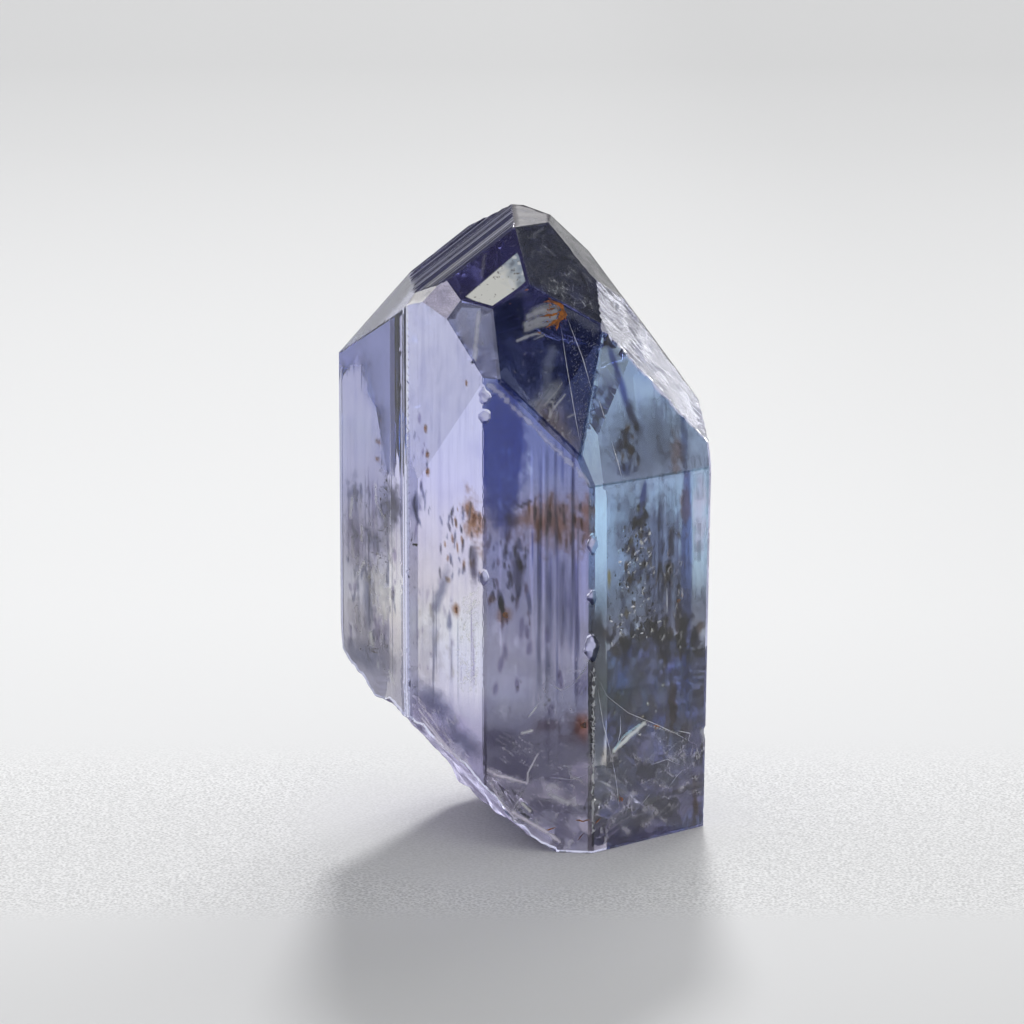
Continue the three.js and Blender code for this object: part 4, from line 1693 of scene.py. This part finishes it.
def make_feathers_and_glints(by_name):
    """Long healed growth lines, painted glints and sparkles, hairs and pits on the faces."""
    heap = Heap()
    for name, lines in [*LONG_LINES.items(), *PAINTED_GLINTS.items()]:
        for number, (path, width) in enumerate(lines):
            add_thread(heap, by_name[name], path, -SURFACE_LIFT, width, ragged=0.4, seed=number)
    for name, *threads in SHORT_THREADS:
        random_threads(heap, by_name[name], *threads)
    feathers = heap.mesh("feathers", shade=[np.array(heap.shades)])
    make_piece("feathers", feathers, feather_and_glint_material())


def bubble_shells(by_name):
    """Small voids in the crystal, as closed shells whose faces look inwards."""
    heap = Heap()
    draw = random.Random(76)
    for name, corners, count, size, (near, far) in BUBBLE_REGIONS:
        for _ in range(count):
            right, up = scatter(draw, corners)
            centre = by_name[name].under(right, up, draw.uniform(near, far))
            radius = size * draw.uniform(0.4, 1.4)
            squash = np.array([1, draw.uniform(0.5, 1), draw.uniform(0.7, 1.6)])
            add_bubble(heap, centre, radius * squash)
    triangles = []
    for face in heap.faces:
        triangles += [(face[0], face[k], face[k + 1]) for k in range(1, len(face) - 1)]
    return np.array(heap.points), np.array(triangles)


# ------------------------------------------------------------------ painted films

# Colours of the soft marks on the films over the faces.
PALE = (0.62, 0.63, 0.68)
CREAM = (0.93, 0.93, 0.88)
LILAC = (0.92, 0.86, 1.0)
WORN = (0.7, 0.7, 0.82)
HAZE = (0.38, 0.41, 0.76)


def soft_strokes(seed, count, corners, length, width, colours, cover, lean, spread=30):
    """Short soft marks scattered in a region, that lean about a common way."""
    draw = random.Random(seed)
    for _ in range(count):
        path = short_path(draw, corners, length, 0.3, lean, spread)
        wide = width * draw.uniform(0.5, 1.3)
        yield path, wide, draw.choice(colours), cover * draw.uniform(0.4, 1)


# The films, with pale inclusions and painted light: glints, sparkles, rim highlights and the
# crown's window. Each mark's and stroke's border is soft and ragged.
#
# lift: how far the film lies over its face, in mm, where it differs from the usual.
# cells: how finely the film is divided, in mm: across it and up it.
# marks: a path of (right, up) places in mm, width, colour, how much it covers, and where they
# differ from the usual, softness and raggedness.
# strokes: seed, count, corners of the region, length, width, colours, cover, lean in degrees
# and, where it differs from the usual, how much the lean spreads.
FILMS = {
    "left": {
        "cells": (0.09, 0.16),
        "marks": [
            ([(-6.55, 26.6), (-6.6, 19.4)], 1.5, HAZE, 0.8, 0.7, 0.15),
            ([(-7.5, 25.9), (-7.35, 22.8)], 1.5, HAZE, 0.8, 0.7, 0.15),
            ([(-9.3, 24.4), (-7.8, 25.5)], 1.5, HAZE, 0.75, 0.7, 0.15),
            ([(-6.9, 16.9), (-7.0, 15.0)], 0.8, (0.3, 0.29, 0.33), 0.4, 1, 1.2),
            ([(-8.9, 15.4), (-8.7, 13.6)], 0.8, (0.32, 0.31, 0.36), 0.35, 1, 1.2),
            ([(-7.6, 12.9), (-7.2, 11.4)], 0.9, (0.95, 0.9, 0.8), 0.35, 1, 1.2),
            ([(-8.8, 11.0), (-8.4, 9.4)], 0.7, (0.28, 0.26, 0.28), 0.35, 1, 1.2),
            ([(-7.4, 9.6), (-6.8, 8.6)], 0.8, (0.3, 0.28, 0.32), 0.35, 1, 1.2),
        ],
        "strokes": [
            (106, 60, [(-9.3, 9.0), (-6.6, 7.6), (-6.6, 17.5), (-9.3, 17.5)], 0.9, 0.14,
             [(0.25, 0.24, 0.28), CREAM, (0.5, 0.48, 0.5)], 0.4, 88, 14),
        ],
    },
    "large pyramid": {
        "cells": (0.055, 0.055),
        "marks": [
            ([(1.7, 27.5), (1.0, 27.55), (0.5, 27.35)], 0.3, PALE, 0.35),
            ([(1.6, 27.25), (0.9, 27.3), (0.2, 27.1)], 0.26, PALE, 0.5),
            ([(1.5, 27.0), (0.8, 26.95), (0.1, 26.75)], 0.28, PALE, 0.55),
            ([(1.4, 26.75), (0.7, 26.65), (0.1, 26.5)], 0.2, PALE, 0.45),
            ([(0.8, 26.3), (0.3, 26.22), (-0.35, 26.0)], 0.12, PALE, 0.6),
            ([(1.0, 26.2), (0.5, 26.02)], 0.1, PALE, 0.4),
            ([(2.0, 27.3), (2.8, 27.0), (3.6, 26.4)], 0.5, (0.3, 0.32, 0.42), 0.3),
            ([(1.4, 25.4), (1.1, 24.4), (1.2, 23.4)], 0.5, (0.3, 0.34, 0.48), 0.35, 1),
            ([(1.6, 23.6), (0.6, 22.95)], 0.6, (0.42, 0.45, 0.55), 0.5, 1),
            ([(1.0, 22.9), (1.6, 23.5), (1.9, 23.9)], 0.06, PALE, 0.4),
            ([(1.55, 22.8), (2.05, 23.35)], 0.07, PALE, 0.7),
            ([(0.4, 22.6), (0.9, 23.2), (1.4, 23.8)], 0.06, (0.05, 0.06, 0.1), 0.6),
            ([(0.9, 22.6), (1.5, 21.9), (2.2, 21.2)], 0.7, (0.28, 0.24, 0.24), 0.45, 1),
        ],
        "strokes": [
            (91, 26, [(0.9, 21.7), (2.3, 20.9), (2.5, 22.4), (1.3, 23.2)], 0.5, 0.1,
             [PALE, (0.1, 0.1, 0.14)], 0.4, 60),
            (92, 60, [(-0.9, 22.6), (2.0, 21.5), (3.6, 27.6), (-0.4, 28.2)], 0.12, 0.05,
             [PALE, (0.3, 0.35, 0.6)], 0.35, 60),
        ],
    },
    "crown": {
        "cells": (0.05, 0.05),
        "marks": [
            ([(-1.95, 30.5), (-2.05, 29.6), (-2.15, 29.0)], 0.14, (0.35, 0.34, 0.42), 0.35),
            ([(-0.3, 30.0), (-0.9, 28.0)], 0.3, (0.16, 0.16, 0.24), 0.3),
        ],
        "strokes": [
            (93, 30, [(-3.4, 28.2), (-1.0, 27.4), (0.2, 31), (-0.6, 31)], 0.1, 0.05, [(0.3, 0.3, 0.45)],
             0.4, 40),
        ],
    },
    "right crown": {
        "cells": (0.06, 0.06),
        "strokes": [
            (94, 70, [(-0.1, 28.2), (3.2, 26.8), (3.4, 29.4), (0.5, 31.2)], 0.7, 0.07,
             [(0.32, 0.34, 0.4), (0.03, 0.03, 0.05)], 0.4, -40, 40),
            (95, 60, [(0.4, 27.6), (3.2, 26.7), (3.6, 28.0), (1.0, 29.0)], 0.35, 0.05,
             [(0.6, 0.62, 0.68)], 0.38, -50, 40),
        ],
    },
    "front bevel": {
        "cells": (0.08, 0.08),
        "marks": [
            ([(-2.28, 27.4), (-2.4, 26.4), (-2.5, 25.0)], 0.22, (0.85, 0.85, 0.92), 0.5, 1),
            ([(-2.0, 27.4), (-1.4, 26.0), (-1.3, 25.0)], 0.5, (0.22, 0.22, 0.34), 0.25, 1),
            ([(-3.2, 27.2), (-2.9, 25.9)], 0.5, (0.5, 0.48, 0.6), 0.3, 1),
        ],
        "strokes": [
            (96, 20, [(-3.4, 26.6), (-1.4, 24.4), (-1.0, 27.2), (-2.6, 27.8)], 0.25, 0.06, [PALE], 0.35,
             70),
        ],
    },
    "front left": {
        "lift": 0.05,
        "cells": (0.07, 0.07),
        "marks": [
            # The first four marks are painted highlights: bright lilac lines along the fracture's rim.
            ([(-5.6, 6.95), (-4.2, 5.35), (-2.9, 4.0)], 0.07, LILAC, 0.8),
            ([(-5.2, 6.25), (-4.0, 5.0), (-3.1, 4.15)], 0.1, LILAC, 0.9),
            ([(-4.5, 5.3), (-3.9, 4.65), (-3.3, 4.05)], 0.1, LILAC, 0.95),
            ([(-4.9, 6.6), (-4.3, 5.8)], 0.06, LILAC, 0.6),
            ([(-4.7, 6.3), (-3.4, 4.6)], 0.5, (0.4, 0.36, 0.55), 0.3, 1),
        ],
        "strokes": [
            (97, 40, [(-5.6, 6.4), (-2.9, 3.6), (-2.6, 4.6), (-5.6, 7.6)], 0.5, 0.06,
             [LILAC, (0.4, 0.36, 0.5)], 0.6, -48, 14),
            # Painted sparkles: pale strokes.
            (98, 90, [(-3.4, 8.2), (-2.3, 8.0), (-2.25, 13.6), (-3.1, 12.8)], 0.22, 0.07,
             [CREAM, (1, 1, 1)], 0.6, 70),
        ],
    },
    "front": {
        "lift": 0.05,
        "cells": (0.076, 0.076),
        "marks": [
            ([(-2.05, 24.32), (3.42, 18.97)], 0.2, WORN, 0.45, 0.9, 1.6),
            ([(3.46, 18.6), (3.46, 9.0)], 0.12, WORN, 0.45, 0.9, 1.6),
            ([(3.46, 9.6), (3.46, 1.0)], 0.2, WORN, 0.3, 0.9, 1.6),
            ([(-2.06, 23.0), (-2.06, 17.0)], 0.1, WORN, 0.4, 0.9, 1.6),
            ([(-1.9, 4.2), (-1.3, 3.9), (-0.7, 3.8)], 0.12, LILAC, 0.5),
            ([(-1.5, 3.95), (-0.6, 3.75), (0.15, 3.55)], 0.1, LILAC, 0.7),
            ([(0.15, 3.5), (0.2, 4.1), (0.7, 5.1)], 0.08, LILAC, 0.6),
            ([(-0.7, 2.05), (-1.2, 2.6), (-1.7, 3.5)], 0.08, LILAC, 0.6),
            ([(-0.55, 2.0), (0.4, 1.45), (1.3, 0.95), (1.8, 0.55)], 0.16, LILAC, 0.85),
            # Painted glint.
            ([(-0.1, 2.5), (0.3, 2.1)], 0.12, (1, 1, 1), 0.7),
            ([(1.3, 3.0), (2.2, 2.6)], 0.25, PALE, 0.6, 1),
            ([(0.1, 3.4), (-0.7, 2.2)], 0.14, (0.2, 0.2, 0.28), 0.45),
            # Painted glint.
            ([(0.4, 6.3), (-0.1, 6.15)], 0.12, (1, 1, 1), 0.5),
            ([(-0.6, 9.9), (1.2, 9.2), (0.8, 7.6), (-1.2, 7.4)], 0.7, (0.5, 0.5, 0.56), 0.18, 1),
        ],
        "strokes": [
            (99, 50, [(-1.6, 3.4), (3.2, 0.6), (3.2, 4.6), (-1.2, 4.8)], 0.5, 0.05, [LILAC, PALE], 0.4,
             -20, 20),
            (100, 34, [(-1.2, 4.6), (0.8, 4.2), (0.8, 5.6), (-1.2, 6.2)], 0.6, 0.035, [LILAC, PALE],
             0.45, -32, 8),
            (101, 30, [(0.9, 4.4), (3.2, 4.2), (3.2, 5.6), (0.9, 5.6)], 0.6, 0.035, [PALE], 0.3, -5, 8),
            (102, 60, [(0.4, 6.6), (3.3, 6.6), (3.3, 10.2), (1.0, 9.8)], 0.3, 0.035, [PALE, LILAC],
             0.35, 45, 50),
        ],
    },
    "front right": {
        "lift": 0.05,
        "cells": (0.076, 0.076),
        "marks": [
            # The first two marks are a painted glint on a crack.
            ([(4.55, 5.1), (5.2, 5.58), (6.1, 6.18)], 0.2, (0.95, 1, 1), 0.75),
            ([(4.6, 5.2), (5.0, 5.75), (5.9, 6.2)], 0.08, (0.5, 0.8, 0.95), 0.6),
            ([(6.0, 6.2), (7.2, 5.6), (8.0, 5.2)], 0.05, PALE, 0.6),
            ([(9.25, 5.1), (9.4, 4.6)], 0.3, PALE, 0.5),
            ([(4.4, 1.4), (5.2, 2.4), (6.4, 2.8)], 0.5, (0.4, 0.38, 0.5), 0.25, 1),
        ],
        "strokes": [
            (103, 40, [(3.8, 0.9), (8.8, 1.2), (8.8, 5.0), (3.8, 5.4)], 0.8, 0.05,
             [PALE, LILAC, (0.15, 0.15, 0.2)], 0.4, 30, 40),
            (104, 60, [(4.3, 10.6), (7.0, 10.6), (6.3, 16.8), (5.5, 16.8)], 0.14, 0.07,
             [(1, 1, 1), CREAM, (0.1, 0.1, 0.12)], 0.7, 60),
            (105, 30, [(6.9, 9.0), (8.2, 9.0), (8.0, 16), (7.0, 16)], 0.3, 0.07,
             [(0.12, 0.07, 0.04), PALE], 0.5, 85, 15),
        ],
    },
}
FILM_LIFT = 0.014
FILM_THICKNESS = 0.004

# The bright window in the crown, painted light that stands in for light seen through the
# crown: its corners and its length.
PAINTED_WINDOW_LIGHT = [(-3.0, 28.1), (-1.55, 27.5), (0.35, 28.95), (-0.35, 30.1)]
PAINTED_WINDOW_LIGHT_LENGTH = 3.6


def near_path(right, up, path):
    """How far each place is from a path, in mm."""
    places = np.stack([right, up], axis=-1)
    nearest = np.full(len(places), np.inf)
    for start, end in zip(np.array(path), np.array(path)[1:]):
        run = end - start
        part = np.clip((places - start) @ run / max(run @ run, 1e-9), 0, 1)
        nearest = np.minimum(nearest, np.linalg.norm(places - start - part[:, None] * run, axis=1))
    return nearest


def window_light_share(right, up):
    """How fully the window covers each place, and how far along it the place is, from 0 to 1."""
    corners = np.array(PAINTED_WINDOW_LIGHT)
    middle = corners.mean(axis=0)
    long_way = corners[3] + corners[2] - corners[0] - corners[1]
    long_way /= np.linalg.norm(long_way)
    inside_by = np.full(len(right), np.inf)
    for start, end in zip(corners, np.roll(corners, -1, axis=0)):
        run = (end - start) / np.linalg.norm(end - start)
        inside_by = np.minimum(inside_by, run[0] * (up - start[1]) - run[1] * (right - start[0]))
    along = (right - middle[0]) * long_way[0] + (up - middle[1]) * long_way[1]
    return smooth(0.0, 0.06, inside_by), along / PAINTED_WINDOW_LIGHT_LENGTH + 0.5


class Film:
    """The colour and cover of a film at each of its points."""

    def __init__(self, points):
        self.right, self.up = points[:, 0], points[:, 2]
        self.points = points
        self.ragged = soft_noise(points, 0.35, 13) + 0.6 * soft_noise(points, 0.12, 14)
        self.colour = np.ones((len(points), 3))
        self.cover = np.zeros(len(points))

    def lay(self, share, colour):
        """Lays a colour over what is there."""
        whole = share + self.cover * (1 - share)
        part = (share / np.maximum(whole, 1e-6))[:, None]
        self.colour = part * np.array(colour) + (1 - part) * self.colour
        self.cover = whole

    def mark(self, path, width, colour, cover, soft=0.8, ragged=0.5):
        """Lays a soft mark along a path."""
        reach = near_path(self.right, self.up, path) / (width / 2)
        reach = reach + ragged * self.ragged
        self.lay(cover * (1 - smooth(1 - soft, 1 + soft, reach)), colour)

    def add_facet_edge_glints(self, cells):
        """Lays thin pale lines along the borders of a region's cells: painted glints on the edges of
        the fracture's facets seen through the face.
        """
        _, border, share, _ = split_cells(self.right, self.up, self.ragged * 1.2, cells)
        broken_up = smooth(-0.3, 0.3, soft_noise(self.points, 0.7, 20))
        self.lay(0.4 * share * broken_up * (1 - smooth(0.03, 0.11, border)), (0.8, 0.78, 0.86))

    def add_painted_window_light(self):
        """Lays the cream window, painted light, with its specks and its glassy, veined end."""
        share, along = window_light_share(self.right, self.up)
        fine = soft_noise(self.points, 0.16, 15) + 0.5 * soft_noise(self.points, 0.07, 16)
        veins = soft_noise(self.points, 0.3, 17)
        glassy = smooth(0.5, 0.85, along + 0.12 * veins)[:, None]
        tone = (1 - glassy) * np.array([1.0, 1.0, 0.95]) + glassy * np.array([0.42, 0.5, 0.62])
        self.lay(share, tone)
        specks = smooth(0.5, 0.68, fine) * 0.85
        dark_veins = smooth(0.1, 0.5, veins) * smooth(0.55, 0.8, along) * 0.6
        pale_veins = smooth(0.35, 0.55, -veins) * smooth(0.4, 0.6, along) * 0.8
        self.lay(share * specks, (0.12, 0.09, 0.08))
        self.lay(share * dark_veins, (0.12, 0.12, 0.16))
        self.lay(share * pale_veins, (0.95, 0.97, 1.0))


def make_films(surface):
    """Thin closed films just over the faces, with soft marks painted on them."""
    heap = Heap()
    tint, cover = [], []
    for name, recipe in FILMS.items():
        lift = recipe.get("lift", FILM_LIFT)
        cells = recipe["cells"]
        points, front, others, over = flat_slab(surface, name, -lift, FILM_THICKNESS, cells)
        film = Film(over)
        strokes = [soft_strokes(*row) for row in recipe["strokes"]]
        for mark in itertools.chain(recipe.get("marks", ()), *strokes):
            film.mark(*mark)
        # Painted glints along the edges of the reflected facets.
        if name in FACET_REFLECTIONS:
            film.add_facet_edge_glints(FACET_REFLECTIONS[name])
        # The crown's window is painted light.
        if name == "crown":
            film.add_painted_window_light()
        heap.add(points, [*front, *others])
        shown, hidden = np.ravel(front), corner_count(others)
        tint += [film.colour[shown], np.ones((hidden, 3))]
        cover += [film.cover[shown], np.zeros(hidden)]
    make_piece("pale_films", heap.mesh("pale_films", tint=tint, cover=cover), film_material())


# ------------------------------------------------------------------ the frosted skin, with painted shade

# How much of each face its frost covers, and the frost's colour. The frost is the faces'
# etching. Its dark colours on the crown, right crown, large pyramid, tip, upper shoulder and
# right edge are painted shade, which stands in for the dark surroundings that those faces show.
FROST_AND_SHADE = {
    "small facet": (0.95, (1, 0.98, 1)),
    "left bevel": (0.75, (0.86, 0.81, 1)),
    "front bevel": (0.2, (0.6, 0.62, 0.85)),
    "left shoulder": (0.12, (0.8, 0.8, 0.84)),
    "right shoulder": (0.22, (1, 1, 1)),
    "upper shoulder": (0.9, (0.29, 0.29, 0.3)),
    "right edge": (0.9, (0.29, 0.29, 0.3)),
    "tip": (0.97, (0.1, 0.09, 0.11)),
    "crown": (0.5, (0.055, 0.05, 0.145)),
    "right crown": (0.8, (0.045, 0.05, 0.08)),
    "large pyramid": (0.38, (0.038, 0.052, 0.17)),
    BROKEN: (0.55, (0.34, 0.3, 0.48)),
}
SKIN_LIFT = 0.004


def make_frost_and_shade_skin(surface):
    """Etched, frosted faces, with painted shade: a thin closed film on the crystal's surface."""
    heap = Heap()
    cover, tint = [], []
    for name, (share, colour) in FROST_AND_SHADE.items():
        numbers = [k for k, face in enumerate(surface.faces) if face.name == name]
        triangles = surface.triangles[np.isin(surface.owners, numbers)]
        if name == BROKEN:
            triangles = triangles[surface.on_fracture[triangles].all(axis=1)]
        used, flat = np.unique(triangles, return_inverse=True)
        triangles = flat.reshape(-1, 3)
        points = surface.points[used]
        count = len(points)
        lift = SKIN_LIFT * point_normals(points, triangles)
        sides = {(t[k], t[(k + 1) % 3]): None for t in triangles.tolist() for k in range(3)}
        rim = [(p, q) for p, q in sides if (q, p) not in sides]
        walls = [(count + p, count + q, q, p) for p, q in rim]
        faces = (triangles + count).tolist() + triangles[:, ::-1].tolist() + walls
        heap.add(np.concatenate([points + lift, points + 2 * lift]), faces)
        cover.append(np.full(corner_count(faces), share))
        tint.append(np.tile(np.array(colour, float), (corner_count(faces), 1)))
    mesh = heap.mesh("frosted_skin", cover=cover, tint=tint)
    mesh.shade_smooth()
    make_piece("frosted_skin", mesh, frost_and_shade_material())


# ------------------------------------------------------------------ stage, lights and camera

CAMERA_PITCH = math.radians(10)
CAMERA_DISTANCE = 220.18
CAMERA_TARGET = (-0.615, -1.959, 16.512)
CAMERA_NEAREST = 5
LENS = 150
SENSOR_WIDTH = 36

FLOOR_SIZE = 6000
FLOOR_DROP = 0.03


def aim(thing, place, target):
    """Puts a camera or lamp at a place, in mm, looking at a target."""
    thing.location = Vector(place) * MM
    looking = Vector(target) - Vector(place)
    thing.rotation_mode = "QUATERNION"
    thing.rotation_quaternion = looking.to_track_quat("-Z", "Y")


def place_in_scene(name, data):
    """An object with some data, in the scene."""
    thing = bpy.data.objects.new(name, data)
    bpy.context.scene.collection.objects.link(thing)
    return thing


def make_camera():
    """The camera, placed as in the photo."""
    camera = bpy.data.cameras.new("camera")
    camera.lens = LENS
    camera.sensor_width = SENSOR_WIDTH
    camera.clip_start = CAMERA_NEAREST * MM
    holder = place_in_scene("camera", camera)
    target = np.array(CAMERA_TARGET)
    back = np.array([0, -math.cos(CAMERA_PITCH), math.sin(CAMERA_PITCH)])
    aim(holder, target + CAMERA_DISTANCE * back, target)
    bpy.context.scene.camera = holder


# The pale paper's brightness, from the camera's side to far behind: place in mm and
# brightness. It is painted light and shade: the paper's colour is graded to stand in for how
# the studio light falls on it.
FLOOR_PAINTED_LIGHT = [
    (-200, 0.62), (-39, 0.755), (-20, 0.83), (-3, 0.855), (15, 0.93), (55, 0.96),
    (95, 0.945), (200, 0.885), (400, 0.735), (560, 0.66), (1500, 0.63),
]

# It is a little dimmer to the right, which is painted shade: between these places in mm, down
# to this share.
DIMMED_SIDE = (4, 45)
DIMMED_SHARE = 0.935

# The paper's grain is sharp in a band beside the crystal and blurs away before and behind it:
# where it starts, is full, is still full and has gone, in mm.
GRAIN_BAND = (-22, -17, 6, 19)
GRAIN_CELLS = 6500.0
GRAIN_TONES = (0.76, 1.15)
BLURRED_TONE = 0.955

# The grain is faint in the shaded oval under the crystal: half its width and depth in mm, and
# how much of the grain is left.
QUIET_WIDE = 12
QUIET_DEEP = 16
QUIET_SHARE = 0.35


def paper_painted_light(nodes, back, aside):
    """The paper's brightness without its grain: painted light and shade graded across it."""
    ramp = nodes.add("ValToRGB")
    first, last = FLOOR_PAINTED_LIGHT[0][0], FLOOR_PAINTED_LIGHT[-1][0]
    span = {"Value": back, "From Min": first * MM, "From Max": last * MM}
    nodes.feed(ramp.inputs[0], nodes.add("MapRange", span).outputs["Result"])
    stops = ramp.color_ramp.elements
    while len(stops) < len(FLOOR_PAINTED_LIGHT):
        stops.new(0.5)
    for stop, (at, shade) in zip(stops, FLOOR_PAINTED_LIGHT):
        stop.position = (at - first) / (last - first)
        stop.color = (shade, shade, shade * 1.005, 1)
    starts, ends = (at * MM for at in DIMMED_SIDE)
    dimmed = nodes.ramp(aside, starts, ends, 1.0, DIMMED_SHARE)
    return nodes.mix(1.0, ramp.outputs[0], nodes.grey(dimmed), "MULTIPLY")


def grain_share(nodes, back, aside):
    """How sharply the paper's grain shows: less so through the crystal and under it."""
    starts, full, fades, gone = (at * MM for at in GRAIN_BAND)
    share = nodes.times(nodes.ramp(back, starts, full), nodes.ramp(back, fades, gone, 1.0, 0.0))
    through = nodes.add("LightPath").outputs["Transmission Depth"]
    share = nodes.times(share, nodes.ramp(through, 0.0, 1.0, 1.0, 0.0))
    wide = nodes.math("DIVIDE", aside, QUIET_WIDE * MM)
    deep = nodes.math("DIVIDE", back, QUIET_DEEP * MM)
    offset = nodes.add("CombineXYZ", {0: wide, 1: deep}).outputs[0]
    away = nodes.add("VectorMath", {0: offset}, operation="LENGTH").outputs["Value"]
    return nodes.times(share, nodes.ramp(away, 0.8, 1.15, QUIET_SHARE, 1.0))


def floor_material():
    """Pale, finely speckled paper, with painted light and shade graded across it."""
    nodes = new_material("pale_floor")
    place = nodes.object_place()
    axes = nodes.add("SeparateXYZ", {0: place})
    back, aside = axes.outputs["Y"], axes.outputs["X"]
    dark, light, blurred = ((tone, tone, tone, 1) for tone in (*GRAIN_TONES, BLURRED_TONE))
    grain = nodes.ramp(nodes.noise(place, GRAIN_CELLS, 2.0), 0.33, 0.67)
    grained = nodes.mix(grain_share(nodes, back, aside), blurred, nodes.mix(grain, dark, light))
    return nodes.shade({
        "Base Color": nodes.mix(1.0, paper_painted_light(nodes, back, aside), grained, "MULTIPLY"),
        "Roughness": 0.8,
        "Specular IOR Level": 0.2,
    })


def make_floor():
    """The pale paper that the crystal stands on."""
    half = FLOOR_SIZE / 2
    corners = [(-half, -half, 0), (half, -half, 0), (half, half, 0), (-half, half, 0)]
    mesh = make_mesh("floor", np.array(corners) - [0, 0, FLOOR_DROP], [(0, 1, 2), (0, 2, 3)])
    mesh.materials.append(floor_material())
    floor = place_in_scene("floor", mesh)


# Light that the studio's walls send to matt surfaces, and what the clear crystal mirrors and
# bends: a bright band low behind it, dark above and dark on the camera's side.
ROOM_COLOUR = (0.985, 0.993, 1, 1)
ROOM_LIGHT = 0.5
BACKDROP_LIGHT = 0.92
HIGH_LIGHT = 0.1
CAMERA_SIDE_LIGHT = 0.16

# Softboxes that only the glossy faces mirror: direction, how wide they reach as a cosine, and
# brightness.
SOFTBOXES = [((0.684, 0.666, 0.298), 0.955, 5.0), ((-0.617, 0.537, 0.576), 0.965, 3.0)]


def make_world():
    """Even room light for matt surfaces, and a shaped surrounding for the crystal."""
    world = bpy.data.worlds.new("studio")
    bpy.context.scene.world = world
    nodes = Nodes(world)
    ways = nodes.add("TexCoord").outputs["Generated"]
    axes = nodes.add("SeparateXYZ", {0: ways})
    path = nodes.add("LightPath")
    is_seen = path.outputs["Is Camera Ray"]
    was_scattered = nodes.math("GREATER_THAN", path.outputs["Diffuse Depth"], 0.5)
    is_even = nodes.math("MAXIMUM", was_scattered, is_seen)
    behind = nodes.ramp(axes.outputs["Y"], -0.6, 0.35, CAMERA_SIDE_LIGHT, BACKDROP_LIGHT)
    low = nodes.ramp(axes.outputs["Z"], 0.22, 0.45, 1.0, HIGH_LIGHT)
    shaped = nodes.times(behind, low)
    for towards, reach, light in SOFTBOXES:
        likeness = nodes.add("VectorMath", {0: ways, 1: towards}, operation="DOT_PRODUCT")
        glow = nodes.ramp(likeness.outputs["Value"], reach, 1 - (1 - reach) / 2, 0.0, light)
        shaped = nodes.math("ADD", shaped, nodes.times(glow, path.outputs["Is Glossy Ray"]))
    span = {"Value": is_seen, "To Min": ROOM_LIGHT, "To Max": BACKDROP_LIGHT}
    even = nodes.add("MapRange", span).outputs["Result"]
    strength = nodes.add("Mix", {0: is_even, 2: shaped, 3: even}).outputs[0]
    background = nodes.named("Background")
    nodes.feed(background.inputs["Color"], ROOM_COLOUR)
    nodes.feed(background.inputs["Strength"], strength)


# How far away the lamps are placed, in mm. Their light doesn't depend on it.
LAMP_DISTANCE = 600


def make_far_lamp(name, azimuth, elevation, spread, strength):
    """A distant lamp whose shadows soften by a spread in degrees."""
    lamp = bpy.data.lights.new(name, "SUN")
    lamp.angle = math.radians(spread)
    lamp.energy = strength
    towards = direction(180 - azimuth, elevation)
    aim(place_in_scene(name, lamp), LAMP_DISTANCE * towards, (0, 0, 0))


def set_rendering():
    """Plain colours, and enough bounces for light to find its way through the crystal."""
    scene = bpy.context.scene
    scene.view_settings.view_transform = "Standard"
    scene.cycles.use_denoising = True
    scene.cycles.max_bounces = 24
    scene.cycles.transmission_bounces = 24
    scene.cycles.transparent_max_bounces = 32
    scene.cycles.glossy_bounces = 12
    scene.cycles.diffuse_bounces = 4
    scene.cycles.sample_clamp_indirect = 6


def remove_defaults():
    """Clears what Blender starts with, apart from the frame."""
    for item in list(bpy.data.objects):
        if item.name in ("Cube", "Light", "Camera"):
            bpy.data.objects.remove(item)


remove_defaults()
make_camera()
make_floor()
make_world()
make_far_lamp("key", azimuth=1, elevation=33, spread=7, strength=1.57)
make_far_lamp("wide_key", azimuth=14, elevation=35, spread=30, strength=0.82)
surface = make_crystal()
make_zones_and_painted_light(surface)
make_stain(surface.by_name)
make_dark_grains(surface.by_name)
make_feathers_and_glints(surface.by_name)
make_films(surface)
make_frost_and_shade_skin(surface)
set_rendering()
